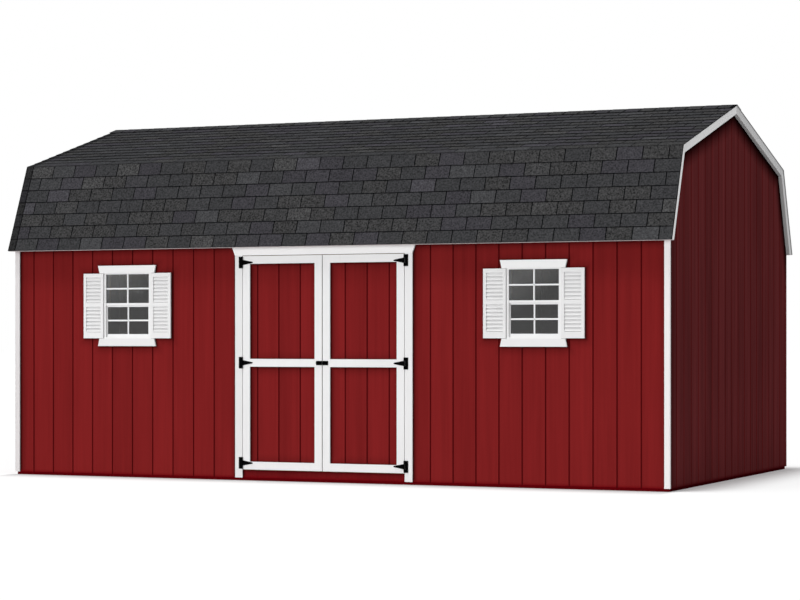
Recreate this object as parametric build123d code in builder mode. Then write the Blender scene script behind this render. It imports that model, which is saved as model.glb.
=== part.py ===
"""Timber barn with a gambrel roof, a pair of hinged doors and two shuttered windows.

The origin is on the ground at the middle of the plan. X runs along the building,
the doors face -Y and Z is up. All sizes are in millimetres.
"""

import os
from math import atan2, cos, hypot, sin, tan

from build123d import *

os.makedirs("parts", exist_ok=True)

# Timber frame
frame_length = 6096.0
frame_width = 3658.0
wall_height = 1905.0
stud_thickness = 38.0
stud_depth = 89.0
frame_spacing = 610.0
joist_height = 89.0
floor_sheet = 16.0

# Cladding and trim boards
siding = 12.0
siding_ground_gap = 25.0
trim_thickness = 11.0
corner_trim_width = 46.0
corner_trim_return = 16.0
eave_trim_height = 5.0
eave_trim_setback = 8.0

# Gambrel roof, measured on its weather face
eave_overhang = 79.0
eave_drop = 1.0
lower_rise = 777.0
knee_inset = 240.0
upper_rise = 460.0
shingle_thickness = 6.0
shingle_lip = 8.0
roof_sheet = 12.0
gusset_thickness = 12.0
gusset_reach = 250.0
rake_width = 70.0
rake_thickness = 31.0
ridge_cap_reach = 130.0
ridge_cap_thickness = 2.0

# Doorway and door leaves
doorway_width = 1524.0
door_floor_lap = 9.0
door_head_lap = 2.0
door_gap = 5.0
door_seam = 8.0
door_trim_width = 69.0
door_stile_width = 68.0
door_rail_width = 67.0
header_thickness = 16.0
header_flare = 26.0
brace_setback = 12.0
brace_floor_gap = 8.0

# Strap hinges
hinge_inset = 55.0
hinge_plate_width = 28.0
hinge_plate_height = 100.0
hinge_leaf_thickness = 3.0
hinge_barrel_radius = 5.0
hinge_pin_radius = 3.0
hinge_pin_clearance = 0.3
hinge_knuckle_gap = 0.5
hinge_plate_relief = 1.5
strap_length = 98.0
strap_root_height = 47.0
strap_tip_height = 12.0

# Slide latch
latch_reach = 56.0
latch_height = 37.0
latch_overhang = 1.0
latch_plate_thickness = 3.0
latch_projection = 10.0
latch_bolt_radius = 3.5
latch_bolt_clearance = 0.5
latch_guide_width = 9.0
latch_guide_height = 16.0

# Windows
window_offset = 1905.0
window_head_drop = 212.0
window_height = 576.0
window_width = 476.0
window_flange_lap = 9.5
window_flange_thickness = 4.0
window_frame_depth = 62.0
window_side_face = 20.0
window_head_face = 10.0
window_sill_face = 13.0
upper_light_drop = 264.0
fixed_rail_height = 20.0
glass_thickness = 4.0
upper_glass_setback = 10.0
sash_setback = 10.0
sash_thickness = 20.0
sash_clearance = 1.0
sash_stile_width = 11.0
sash_bottom_rail = 26.0
sash_top_rail = 34.0
casing_height = 67.0
casing_lap = 37.0
casing_flare = 16.0

# Louvred shutters
shutter_gap = 2.0
shutter_width = 199.0
shutter_thickness = 14.0
shutter_stile = 26.0
shutter_top_rail = 34.0
shutter_middle_rail = 36.0
shutter_bottom_rail = 54.0
slats_per_field = 7
slat_thickness = 5.0
slat_edge_inset = 2.0
slat_lap_share = 1.05

# Length by which every cutting solid passes the face it cuts
overrun = 10.0

# Levels and faces worked out from the sizes above
half_length = frame_length / 2
half_width = frame_width / 2
front_face = half_width + siding
end_face = half_length + siding
floor_top = joist_height + floor_sheet
wall_top = floor_top + wall_height
stud_bottom = floor_top + stud_thickness
stud_top = wall_top - stud_thickness
lintel_bottom = stud_top - stud_thickness
door_bottom = floor_top - door_floor_lap
door_head = lintel_bottom + door_head_lap
window_top = wall_top - window_head_drop
window_bottom = window_top - window_height
meeting_rail_height = window_top - upper_light_drop
eave_height = wall_top - eave_drop
ridge_height = eave_height + lower_rise + upper_rise
eave_reach = front_face + eave_overhang
knee_half = front_face - knee_inset
rake_face = end_face + rake_thickness
trim_face = front_face + trim_thickness
half_doorway = doorway_width / 2
lower_angle = atan2(lower_rise, eave_reach - knee_half)
upper_angle = atan2(upper_rise, knee_half)
deck_depth = shingle_thickness
rafter_depth = deck_depth + roof_sheet
ceiling_depth = rafter_depth + stud_depth

FROM_LOW_CORNER = (Align.MIN, Align.MIN, Align.MIN)


def roof_line(depth: float) -> tuple:
    """Gives the eave, knee and ridge points (y, z) of the front half, at a depth under the weather face."""
    eave_y = depth / sin(lower_angle) - eave_reach
    ridge_z = ridge_height - depth / cos(upper_angle)
    meeting = ridge_z - eave_height + eave_y * tan(lower_angle)
    knee_y = meeting / (tan(lower_angle) - tan(upper_angle))
    knee_z = ridge_z + knee_y * tan(upper_angle)
    return (eave_y, eave_height), (knee_y, knee_z), (0, ridge_z)


def toward(start: tuple, end: tuple) -> tuple:
    """Gives the point one gusset reach along the line from start to end."""
    run = end[0] - start[0]
    rise = end[1] - start[1]
    share = gusset_reach / hypot(run, rise)
    return start[0] + run * share, start[1] + rise * share


def fill(points: list) -> None:
    """Fills the closed outline through the points in the open sketch."""
    Polygon(*points, align=None)


def block(low: tuple, high: tuple) -> None:
    """Adds a plain rectangular timber between two corners to the open part."""
    with Locations(low):
        Box(high[0] - low[0], high[1] - low[1], high[2] - low[2], align=FROM_LOW_CORNER)


def save(builder: BuildPart, name: str) -> None:
    """Labels the finished piece and writes it."""
    builder.part.label = name
    export_step(builder.part, f"parts/{name}.step")


def save_mirrored(builder: BuildPart, name: str, about: Plane) -> None:
    """Writes the opposite hand of a finished piece."""
    with BuildPart() as opposite:
        mirror(builder.part, about=about)
    save(opposite, name)


# Frames stand at even spacing along the building, the first and last flush with its ends
bay_count = round((frame_length - stud_thickness) / frame_spacing)
bay = (frame_length - stud_thickness) / bay_count
frame_xs = [stud_thickness / 2 - half_length + bay * i for i in range(bay_count + 1)]

# Floor: joists between two rim boards, covered by sheet
half_stud = stud_thickness / 2
rim_inner = half_width - stud_thickness
with BuildPart() as floor_rims:
    block((-half_length, -half_width, 0), (half_length, -rim_inner, joist_height))
    mirror(about=Plane.XZ)
save(floor_rims, "floor_rims")

with BuildPart() as floor_joists:
    for x in frame_xs:
        block((x - half_stud, -rim_inner, 0), (x + half_stud, rim_inner, joist_height))
save(floor_joists, "floor_joists")

with BuildPart() as floor_deck:
    with BuildSketch(Plane.XY.offset(joist_height)):
        Rectangle(frame_length, frame_width)
    extrude(amount=floor_sheet)
save(floor_deck, "floor_deck")

# Wall plates: the front sole plate stops each side of the doorway
inner_face = half_width - stud_depth
with BuildPart() as long_plates:
    for start_x, end_x in ((-half_length, -half_doorway), (half_doorway, half_length)):
        block((start_x, -half_width, floor_top), (end_x, -inner_face, stud_bottom))
    block((-half_length, -half_width, stud_top), (half_length, -inner_face, wall_top))
    block((-half_length, inner_face, floor_top), (half_length, half_width, stud_bottom))
    block((-half_length, inner_face, stud_top), (half_length, half_width, wall_top))
save(long_plates, "long_plates")

end_inner_face = half_length - stud_depth
with BuildPart() as gable_plates:
    for low_z, high_z in ((floor_top, stud_bottom), (stud_top, wall_top)):
        block((end_inner_face, -inner_face, low_z), (half_length, inner_face, high_z))
    mirror(about=Plane.YZ)
save(gable_plates, "gable_plates")

# Studs: the openings in the front wall have a stud at each side and short ones over and under
window_hole_width = window_width - 2 * window_flange_lap
window_hole_bottom = window_bottom + window_flange_lap
window_hole_top = window_top - window_flange_lap
half_hole = window_hole_width / 2
openings = [(0, half_doorway), (-window_offset, half_hole), (window_offset, half_hole)]
edge_xs = [x + side * (half + half_stud) for x, half in openings for side in (-1, 1)]
module_xs = [x for x in frame_xs if all(abs(x - c) > half + 2 * stud_thickness for c, half in openings)]
sill_timber_bottom = window_hole_bottom - stud_thickness
head_timber_top = window_hole_top + stud_thickness
with BuildPart() as long_studs:
    for x in edge_xs + module_xs:
        block((x - half_stud, -half_width, stud_bottom), (x + half_stud, -inner_face, stud_top))
    for x in (-window_offset, window_offset):
        block((x - half_stud, -half_width, stud_bottom), (x + half_stud, -inner_face, sill_timber_bottom))
        block((x - half_stud, -half_width, head_timber_top), (x + half_stud, -inner_face, stud_top))
    for x in frame_xs:
        block((x - half_stud, inner_face, stud_bottom), (x + half_stud, half_width, stud_top))
save(long_studs, "long_studs")

with BuildPart() as wall_headers:
    block((-half_doorway, -half_width, lintel_bottom), (half_doorway, -inner_face, stud_top))
    for x in (-window_offset, window_offset):
        low_x = x - half_hole
        high_x = x + half_hole
        block((low_x, -half_width, sill_timber_bottom), (high_x, -inner_face, window_hole_bottom))
        block((low_x, -half_width, window_hole_top), (high_x, -inner_face, head_timber_top))
save(wall_headers, "wall_headers")

# Gable studs: one row between the plates, another from the top plate to the end rafters
gable_bay_count = round(2 * inner_face / frame_spacing)
gable_bay = (2 * inner_face - stud_thickness) / gable_bay_count
gable_ys = [half_stud - inner_face + gable_bay * i for i in range(gable_bay_count + 1)]
ceiling_eave, ceiling_knee, ceiling_ridge = roof_line(ceiling_depth)
with BuildPart() as gable_studs:
    for y in gable_ys[1:-1]:
        block((end_inner_face, y - half_stud, wall_top), (half_length, y + half_stud, ridge_height))
    with BuildSketch(Plane.YZ.offset(end_inner_face)):
        fill([ceiling_eave, ceiling_knee, ceiling_ridge])
        fill([ceiling_eave, ceiling_ridge, (0, eave_height)])
        mirror(about=Plane.YZ)
    extrude(amount=stud_depth, mode=Mode.INTERSECT)
    for y in gable_ys:
        block((end_inner_face, y - half_stud, stud_bottom), (half_length, y + half_stud, stud_top))
    mirror(about=Plane.YZ)
save(gable_studs, "gable_studs")

# Rafters: the lower ones stand on the plates with a level seat and a plumb heel
rafter_eave, rafter_knee, rafter_ridge = roof_line(rafter_depth)
heel_z = eave_height + (-half_width - rafter_eave[0]) * tan(lower_angle)
seat_y = ceiling_eave[0] + eave_drop / tan(lower_angle)
with BuildPart() as front_lower_rafters:
    for x in frame_xs:
        with BuildSketch(Plane.YZ.offset(x - half_stud)):
            seat = [(seat_y, wall_top), (-half_width, wall_top), (-half_width, heel_z)]
            fill([*seat, rafter_knee, ceiling_knee])
    extrude(amount=stud_thickness)
save(front_lower_rafters, "front_lower_rafters")
save_mirrored(front_lower_rafters, "back_lower_rafters", Plane.XZ)

with BuildPart() as front_upper_rafters:
    for x in frame_xs:
        with BuildSketch(Plane.YZ.offset(x - half_stud)):
            fill([rafter_knee, rafter_ridge, ceiling_ridge, ceiling_knee])
    extrude(amount=stud_thickness)
save(front_upper_rafters, "front_upper_rafters")
save_mirrored(front_upper_rafters, "back_upper_rafters", Plane.XZ)

# Gussets: sheet plates on one side of the inner frames, over the knee and ridge joints
with BuildPart() as rafter_gussets:
    for x in frame_xs[1:-1]:
        with BuildSketch(Plane.YZ.offset(x + half_stud)):
            knee_lower = [toward(rafter_knee, rafter_eave), toward(ceiling_knee, ceiling_eave)]
            knee_upper = [toward(ceiling_knee, ceiling_ridge), toward(rafter_knee, rafter_ridge)]
            fill([rafter_knee, *knee_lower, *knee_upper])
            mirror(about=Plane.YZ)
        extrude(amount=gusset_thickness)
        with BuildSketch(Plane.YZ.offset(x + half_stud)):
            ridge_edge = [toward(rafter_ridge, rafter_knee), toward(ceiling_ridge, ceiling_knee)]
            fill([rafter_ridge, *ridge_edge, (0, ridge_edge[1][1])])
            mirror(about=Plane.YZ)
        extrude(amount=gusset_thickness)
save(rafter_gussets, "rafter_gussets")

# Roof sheets and the shingle skin over them
deck_eave, deck_knee, deck_ridge = roof_line(deck_depth)
with BuildPart() as front_lower_deck:
    with BuildSketch(Plane.YZ):
        fill([deck_eave, deck_knee, rafter_knee, rafter_eave])
    extrude(amount=end_face, both=True)
save(front_lower_deck, "front_lower_deck")
save_mirrored(front_lower_deck, "back_lower_deck", Plane.XZ)

with BuildPart() as front_upper_deck:
    with BuildSketch(Plane.YZ):
        fill([deck_knee, deck_ridge, rafter_ridge, rafter_knee])
    extrude(amount=end_face, both=True)
save(front_upper_deck, "front_upper_deck")
save_mirrored(front_upper_deck, "back_upper_deck", Plane.XZ)

weather_eave, weather_knee, weather_ridge = roof_line(0)
with BuildPart() as front_shingles:
    with BuildSketch(Plane.YZ):
        fill([weather_eave, weather_knee, weather_ridge, deck_ridge, deck_knee, deck_eave])
    extrude(amount=rake_face + shingle_lip, both=True)
save(front_shingles, "front_shingles")
save_mirrored(front_shingles, "back_shingles", Plane.XZ)

cap_ridge = roof_line(-ridge_cap_thickness)[2]
cap_drop = ridge_cap_reach * tan(upper_angle)
with BuildPart() as ridge_cap:
    with BuildSketch(Plane.YZ):
        low_edge = (-ridge_cap_reach, weather_ridge[1] - cap_drop)
        high_edge = (-ridge_cap_reach, cap_ridge[1] - cap_drop)
        fill([weather_ridge, low_edge, high_edge, cap_ridge])
        mirror(about=Plane.YZ)
    extrude(amount=rake_face + shingle_lip, both=True)
save(ridge_cap, "ridge_cap")

# Rake boards: square timbers on the gable faces, mitred at knee and ridge, cut level at the eave
rake_eave, rake_knee, rake_ridge = roof_line(deck_depth + rake_width)
with BuildPart() as lower_rakes:
    with BuildSketch(Plane.YZ.offset(end_face)):
        fill([deck_eave, deck_knee, rake_knee, rake_eave])
    extrude(amount=rake_thickness)
    mirror(about=Plane.XZ)
    mirror(about=Plane.YZ)
save(lower_rakes, "lower_rakes")

with BuildPart() as front_upper_rakes:
    with BuildSketch(Plane.YZ.offset(end_face)):
        fill([deck_knee, deck_ridge, rake_ridge, rake_knee])
    extrude(amount=rake_thickness)
    mirror(about=Plane.YZ)
save(front_upper_rakes, "front_upper_rakes")
save_mirrored(front_upper_rakes, "back_upper_rakes", Plane.XZ)

# Siding: sheets over the frame, with holes for the windows
with BuildPart() as front_siding_right:
    with BuildSketch(Plane.XZ.offset(half_width)):
        fill(
            [
                (half_doorway, siding_ground_gap),
                (half_length, siding_ground_gap),
                (half_length, wall_top),
                (half_doorway, wall_top),
            ]
        )
        with Locations((window_offset, (window_hole_bottom + window_hole_top) / 2)):
            Rectangle(window_hole_width, window_hole_top - window_hole_bottom, mode=Mode.SUBTRACT)
    extrude(amount=siding)
save(front_siding_right, "front_siding_right")
save_mirrored(front_siding_right, "front_siding_left", Plane.YZ)

door_panel_top = door_head - door_gap
under_door_top = door_bottom - door_gap
with BuildPart() as front_siding_under:
    block((-half_doorway, -front_face, siding_ground_gap), (half_doorway, -half_width, under_door_top))
save(front_siding_under, "front_siding_under")

with BuildPart() as front_siding_over:
    block((-half_doorway, -front_face, door_head), (half_doorway, -half_width, wall_top))
save(front_siding_over, "front_siding_over")

with BuildPart() as back_siding:
    block((-half_length, half_width, siding_ground_gap), (half_length, front_face, wall_top))
save(back_siding, "back_siding")

gable_corner = (-front_face, eave_height + (-front_face - rafter_eave[0]) * tan(lower_angle))
trim_top = eave_height - eave_trim_height
return_edge = corner_trim_return - front_face
with BuildPart() as right_gable_siding:
    with BuildSketch(Plane.YZ.offset(half_length)):
        back_edge = [(0, siding_ground_gap), (-front_face, siding_ground_gap)]
        fill([*back_edge, gable_corner, rafter_knee, rafter_ridge])
        mirror(about=Plane.YZ, mode=Mode.REPLACE)
        front_edge = [(0, siding_ground_gap), (return_edge, siding_ground_gap), (return_edge, trim_top)]
        fill([*front_edge, (-front_face, trim_top), gable_corner, rafter_knee, rafter_ridge])
    extrude(amount=siding)
save(right_gable_siding, "right_gable_siding")
save_mirrored(right_gable_siding, "left_gable_siding", Plane.YZ)

# Trim on the long walls: the front corner boards also turn the corner
with BuildPart() as corner_trims:
    inner_x = end_face - corner_trim_width
    block((inner_x, -trim_face, siding_ground_gap), (end_face, -front_face, trim_top))
    mirror(about=Plane.XZ)
    block((half_length, -front_face, siding_ground_gap), (end_face, return_edge, trim_top))
    mirror(about=Plane.YZ)
save(corner_trims, "corner_trims")

with BuildPart() as eave_trims:
    low_corner = (-rake_face, eave_trim_setback - eave_reach, trim_top)
    block(low_corner, (rake_face, -front_face, eave_height))
    mirror(about=Plane.XZ)
save(eave_trims, "eave_trims")

trim_outer = half_doorway + door_trim_width
with BuildPart() as door_trims:
    block((half_doorway, -trim_face, siding_ground_gap), (trim_outer, -front_face, door_head))
    mirror(about=Plane.YZ)
save(door_trims, "door_trims")

with BuildPart() as door_header:
    with BuildSketch(Plane.XZ.offset(front_face)):
        flared = trim_outer + header_flare
        fill([(-trim_outer, door_head), (trim_outer, door_head), (flared, trim_top), (-flared, trim_top)])
    extrude(amount=header_thickness)
save(door_header, "door_header")

# Window units: a flanged frame with a fixed upper light and a sash set deeper below it
window_middle = (window_bottom + window_top) / 2
light_width = window_width - 2 * window_side_face
light_bottom = window_bottom + window_sill_face
light_top = window_top - window_head_face
light_height = light_top - light_bottom
fixed_rail_bottom = meeting_rail_height - fixed_rail_height
hole_height = window_hole_top - window_hole_bottom
with BuildPart() as window_frames:
    with BuildSketch(Plane.XZ.offset(front_face)):
        with Locations((window_offset, window_middle)):
            Rectangle(window_width, window_height)
    extrude(amount=window_flange_thickness)
    with BuildSketch(Plane.XZ.offset(front_face)):
        with Locations((window_offset, window_middle)):
            Rectangle(window_hole_width, hole_height)
    extrude(amount=-window_frame_depth)
    with BuildSketch(Plane.XZ.offset(front_face + window_flange_thickness + overrun)):
        with Locations((window_offset, (light_bottom + light_top) / 2)):
            Rectangle(light_width, light_height)
    cut_length = window_frame_depth + window_flange_thickness + 2 * overrun
    extrude(amount=-cut_length, mode=Mode.SUBTRACT)
    rail_back = sash_setback - sash_clearance - front_face
    half_light = light_width / 2
    rail_low = (window_offset - half_light, -front_face, fixed_rail_bottom)
    block(rail_low, (window_offset + half_light, rail_back, meeting_rail_height))
    mirror(about=Plane.YZ)
save(window_frames, "window_frames")

sash_middle = (light_bottom + meeting_rail_height) / 2
sash_width = light_width - 2 * sash_clearance
sash_glass_low = light_bottom + sash_bottom_rail
sash_glass_high = meeting_rail_height - sash_top_rail
sash_glass_width = sash_width - 2 * sash_stile_width
with BuildPart() as window_sashes:
    with BuildSketch(Plane.XZ.offset(front_face - sash_setback)):
        with Locations((window_offset, sash_middle)):
            Rectangle(sash_width, meeting_rail_height - light_bottom)
        with Locations((window_offset, (sash_glass_low + sash_glass_high) / 2)):
            Rectangle(sash_glass_width, sash_glass_high - sash_glass_low, mode=Mode.SUBTRACT)
    extrude(amount=-sash_thickness)
    mirror(about=Plane.YZ)
save(window_sashes, "window_sashes")

sash_glass_setback = sash_setback + (sash_thickness - glass_thickness) / 2
with BuildPart() as window_glass:
    with BuildSketch(Plane.XZ.offset(front_face - upper_glass_setback)):
        with Locations((window_offset, (meeting_rail_height + light_top) / 2)):
            Rectangle(light_width, light_top - meeting_rail_height)
    extrude(amount=-glass_thickness)
    with BuildSketch(Plane.XZ.offset(front_face - sash_glass_setback)):
        with Locations((window_offset, (sash_glass_low + sash_glass_high) / 2)):
            Rectangle(sash_glass_width, sash_glass_high - sash_glass_low)
    extrude(amount=-glass_thickness)
    mirror(about=Plane.YZ)
save(window_glass, "window_glass")

with BuildPart() as window_casings:
    near = window_width / 2 + casing_lap
    far = near + casing_flare
    with BuildSketch(Plane.XZ.offset(front_face)):
        for edge_z, flared_z in (
            (window_top, window_top + casing_height),
            (window_bottom, window_bottom - casing_height),
        ):
            fill(
                [
                    (window_offset - near, edge_z),
                    (window_offset + near, edge_z),
                    (window_offset + far, flared_z),
                    (window_offset - far, flared_z),
                ]
            )
    extrude(amount=header_thickness)
    mirror(about=Plane.YZ)
save(window_casings, "window_casings")

# Shutters: stiles and rails round two fields of tilted slats
shutter_near = window_width / 2 + shutter_gap
shutter_low = window_bottom + shutter_gap
shutter_high = window_top - shutter_gap
fields_height = shutter_high - shutter_low - shutter_top_rail - shutter_middle_rail - shutter_bottom_rail
field_height = fields_height / 2
slat_pitch = field_height / slats_per_field
lower_field = shutter_low + shutter_bottom_rail
field_bottoms = (lower_field, lower_field + field_height + shutter_middle_rail)
slat_front = slat_edge_inset - front_face - shutter_thickness
slat_back = -slat_edge_inset - front_face
slat_rise = slat_pitch * slat_lap_share - slat_thickness
with BuildPart() as shutters:
    for inner_x in (window_offset + shutter_near, window_offset - shutter_near - shutter_width):
        middle_x = inner_x + shutter_width / 2
        with BuildSketch(Plane.XZ.offset(front_face)):
            with Locations((middle_x, (shutter_low + shutter_high) / 2)):
                Rectangle(shutter_width, shutter_high - shutter_low)
            for bottom in field_bottoms:
                with Locations((middle_x, bottom + field_height / 2)):
                    Rectangle(shutter_width - 2 * shutter_stile, field_height, mode=Mode.SUBTRACT)
        extrude(amount=shutter_thickness)
        with BuildSketch(Plane.YZ.offset(inner_x + shutter_stile)):
            for bottom in field_bottoms:
                for i in range(slats_per_field):
                    low = bottom + slat_edge_inset + slat_pitch * i
                    front_edge = [(slat_front, low), (slat_front, low + slat_thickness)]
                    raised = low + slat_rise
                    fill([*front_edge, (slat_back, raised + slat_thickness), (slat_back, raised)])
        extrude(amount=shutter_width - 2 * shutter_stile)
    mirror(about=Plane.YZ)
save(shutters, "shutters")

# Door leaves: a siding panel with boards outside and a timber brace inside
leaf_low_x = door_gap - half_doorway
leaf_high_x = -door_seam / 2
leaf_middle_x = (leaf_low_x + leaf_high_x) / 2
leaf_width = leaf_high_x - leaf_low_x
leaf_height = door_panel_top - door_bottom
leaf_middle_z = (door_bottom + door_panel_top) / 2
with BuildPart() as left_door_panel:
    block((leaf_low_x, -front_face, door_bottom), (leaf_high_x, -half_width, door_panel_top))
save(left_door_panel, "left_door_panel")
save_mirrored(left_door_panel, "right_door_panel", Plane.YZ)

field_width = leaf_width - 2 * door_stile_width
panel_field = (leaf_height - 3 * door_rail_width) / 2
field_offset = (panel_field + door_rail_width) / 2
with BuildPart() as left_door_boards:
    with BuildSketch(Plane.XZ.offset(front_face)):
        with Locations((leaf_middle_x, leaf_middle_z)):
            Rectangle(leaf_width, leaf_height)
        for z in (leaf_middle_z - field_offset, leaf_middle_z + field_offset):
            with Locations((leaf_middle_x, z)):
                Rectangle(field_width, panel_field, mode=Mode.SUBTRACT)
    extrude(amount=trim_thickness)
save(left_door_boards, "left_door_boards")
save_mirrored(left_door_boards, "right_door_boards", Plane.YZ)

brace_bottom = floor_top + brace_floor_gap
brace_top = door_panel_top - brace_setback
brace_width = leaf_width - 2 * brace_setback
brace_field = (brace_top - brace_bottom - 3 * stud_depth) / 2
brace_middle_z = (brace_bottom + brace_top) / 2
brace_offset = (brace_field + stud_depth) / 2
with BuildPart() as left_door_brace:
    with BuildSketch(Plane.XZ.offset(half_width)):
        with Locations((leaf_middle_x, brace_middle_z)):
            Rectangle(brace_width, brace_top - brace_bottom)
        for z in (brace_middle_z - brace_offset, brace_middle_z + brace_offset):
            with Locations((leaf_middle_x, z)):
                Rectangle(brace_width - 2 * stud_depth, brace_field, mode=Mode.SUBTRACT)
    extrude(amount=-stud_thickness)
save(left_door_brace, "left_door_brace")
save_mirrored(left_door_brace, "right_door_brace", Plane.YZ)

# Strap hinges: plate, outer knuckles and pin on the trim, middle knuckle and strap on the leaf
pin_x = door_gap / 2 - half_doorway
pin_y = -trim_face - hinge_barrel_radius
hinge_zs = (door_bottom + hinge_inset, leaf_middle_z, door_panel_top - hinge_inset)
half_plate = hinge_plate_height / 2
half_root = strap_root_height / 2
plate_edge_x = pin_x - hinge_barrel_radius - hinge_plate_relief
with BuildPart() as hinge_plates:
    for z in hinge_zs:
        plate_low_x = plate_edge_x - hinge_plate_width
        leaf_y = -trim_face - hinge_leaf_thickness
        block((plate_low_x, leaf_y, z - half_plate), (plate_edge_x, -trim_face, z + half_plate))
        for low_z, high_z in ((z - half_plate, z - half_root), (z + half_root, z + half_plate)):
            block((plate_edge_x, leaf_y, low_z), (pin_x, -trim_face, high_z))
            with BuildSketch(Plane.XY.offset(low_z)):
                with Locations((pin_x, pin_y)):
                    Circle(hinge_barrel_radius)
            extrude(amount=high_z - low_z)
        with BuildSketch(Plane.XY.offset(z - half_plate)):
            with Locations((pin_x, pin_y)):
                Circle(hinge_pin_radius)
        extrude(amount=hinge_plate_height)
    mirror(about=Plane.YZ)
save(hinge_plates, "hinge_plates")

with BuildPart() as left_hinge_straps:
    for z in hinge_zs:
        low_z = z - half_root + hinge_knuckle_gap
        high_z = z + half_root - hinge_knuckle_gap
        half_tip = strap_tip_height / 2
        tip_x = pin_x + strap_length - half_tip
        with BuildSketch(Plane.XZ.offset(trim_face)):
            fill([(pin_x, low_z), (tip_x, z - half_tip), (tip_x, z + half_tip), (pin_x, high_z)])
            with Locations((tip_x, z)):
                Circle(half_tip)
        extrude(amount=hinge_leaf_thickness)
        with BuildSketch(Plane.XY.offset(low_z)):
            with Locations((pin_x, pin_y)):
                Circle(hinge_barrel_radius)
        extrude(amount=high_z - low_z)
        with BuildSketch(Plane.XY.offset(low_z - overrun)):
            with Locations((pin_x, pin_y)):
                Circle(hinge_pin_radius + hinge_pin_clearance)
        extrude(amount=high_z - low_z + 2 * overrun, mode=Mode.SUBTRACT)
save(left_hinge_straps, "left_hinge_straps")
save_mirrored(left_hinge_straps, "right_hinge_straps", Plane.YZ)

# Slide latch: the bolt rests drawn back on the left leaf, facing its keeper on the right leaf
latch_low_z = leaf_middle_z - latch_height / 2
latch_high_z = leaf_middle_z + latch_height / 2
latch_edge_x = leaf_high_x + latch_overhang
plate_front = -trim_face - latch_plate_thickness
bolt_y = -trim_face - latch_projection / 2
guide_low_z = leaf_middle_z - latch_guide_height / 2
guide_high_z = leaf_middle_z + latch_guide_height / 2
guide_front = -trim_face - latch_projection
with BuildPart() as latch_bolt:
    block((-latch_reach, plate_front, latch_low_z), (latch_edge_x, -trim_face, latch_high_z))
    with BuildSketch(Plane.YZ.offset(-latch_reach)):
        with Locations((bolt_y, leaf_middle_z)):
            Circle(latch_bolt_radius)
    extrude(amount=latch_reach + latch_edge_x)
    for low_x in (-latch_reach, latch_edge_x - latch_guide_width):
        block((low_x, guide_front, guide_low_z), (low_x + latch_guide_width, -trim_face, guide_high_z))
save(latch_bolt, "latch_bolt")

with BuildPart() as latch_keeper:
    block((-latch_edge_x, plate_front, latch_low_z), (latch_reach, -trim_face, latch_high_z))
    guide_high_x = latch_guide_width - latch_edge_x
    block((-latch_edge_x, guide_front, guide_low_z), (guide_high_x, -trim_face, guide_high_z))
    with BuildSketch(Plane.YZ.offset(-latch_edge_x - overrun)):
        with Locations((bolt_y, leaf_middle_z)):
            Circle(latch_bolt_radius + latch_bolt_clearance)
    extrude(amount=latch_guide_width + 2 * overrun, mode=Mode.SUBTRACT)
save(latch_keeper, "latch_keeper")
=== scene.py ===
"""Looks of a red gambrel barn: grooved siding, tabbed shingles, window bars, screws and every finish.

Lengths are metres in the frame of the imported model. The origin is on the ground under the middle of the
barn, +X runs along its length, the front with the doors faces -Y and +Z is up.
"""

import logging
import math
from dataclasses import dataclass, field, replace
from enum import Enum
from typing import ClassVar, Protocol

import bmesh
import bpy
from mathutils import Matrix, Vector


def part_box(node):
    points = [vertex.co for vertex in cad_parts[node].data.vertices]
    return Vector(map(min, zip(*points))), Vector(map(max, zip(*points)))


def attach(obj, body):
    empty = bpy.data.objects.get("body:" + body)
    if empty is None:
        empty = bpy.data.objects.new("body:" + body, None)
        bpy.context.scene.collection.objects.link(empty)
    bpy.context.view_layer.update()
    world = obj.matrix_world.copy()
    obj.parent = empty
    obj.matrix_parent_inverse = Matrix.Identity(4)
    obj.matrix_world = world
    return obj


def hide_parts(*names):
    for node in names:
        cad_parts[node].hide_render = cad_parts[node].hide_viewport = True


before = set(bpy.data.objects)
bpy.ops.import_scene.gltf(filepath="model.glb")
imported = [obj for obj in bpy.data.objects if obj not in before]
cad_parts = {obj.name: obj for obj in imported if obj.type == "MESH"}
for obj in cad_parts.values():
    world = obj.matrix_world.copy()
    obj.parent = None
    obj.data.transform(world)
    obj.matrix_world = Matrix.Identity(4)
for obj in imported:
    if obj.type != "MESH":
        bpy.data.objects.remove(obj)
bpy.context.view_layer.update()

LOG = logging.getLogger("barn")
MERGE_GAP = 1e-5
WINDOW_X = 1.905
ORIGIN = (0.0, 0.0, 0.0)

Colour = tuple[float, float, float]
Point = tuple[float, float, float]
Span = tuple[float, float]
Band = tuple[float, float, float]
Key = str | int
Settings = dict[str, object] | None
Sockets = dict[Key, object] | None


def grey(level: float) -> Colour:
    """A colour without a hue."""
    return (level, level, level)


WHITE = grey(1.0)
BLACK = grey(0.0)


class Kind(Enum):
    """Socket types of a pattern's named inputs."""

    LENGTH = "NodeSocketFloat"
    COUNT = "NodeSocketInt"
    DIRECTION = "NodeSocketVector"


class Side(Enum):
    """The four walls, as quarter turns from the front."""

    FRONT = 0
    RIGHT = 1
    BACK = 2
    LEFT = 3

    @property
    def word(self) -> str:
        """The side's name in small letters."""
        return self.name.lower()

    @property
    def turn(self) -> float:
        """The angle about +Z from the front wall to this one."""
        return self.value * math.pi / 2

    @property
    def outward(self) -> Point:
        """The direction that the wall faces."""
        return (math.sin(self.turn), -math.cos(self.turn), 0.0)


class Slope(Enum):
    """The two slopes of one side of the roof."""

    LOWER = "lower"
    UPPER = "upper"


class Grain(Enum):
    """The way that wood fibres run in a piece."""

    LENGTH = "length"
    DEPTH = "depth"
    UPRIGHT = "upright"
    LOWER_SLOPE = "lower slope"
    UPPER_SLOPE = "upper slope"


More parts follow.
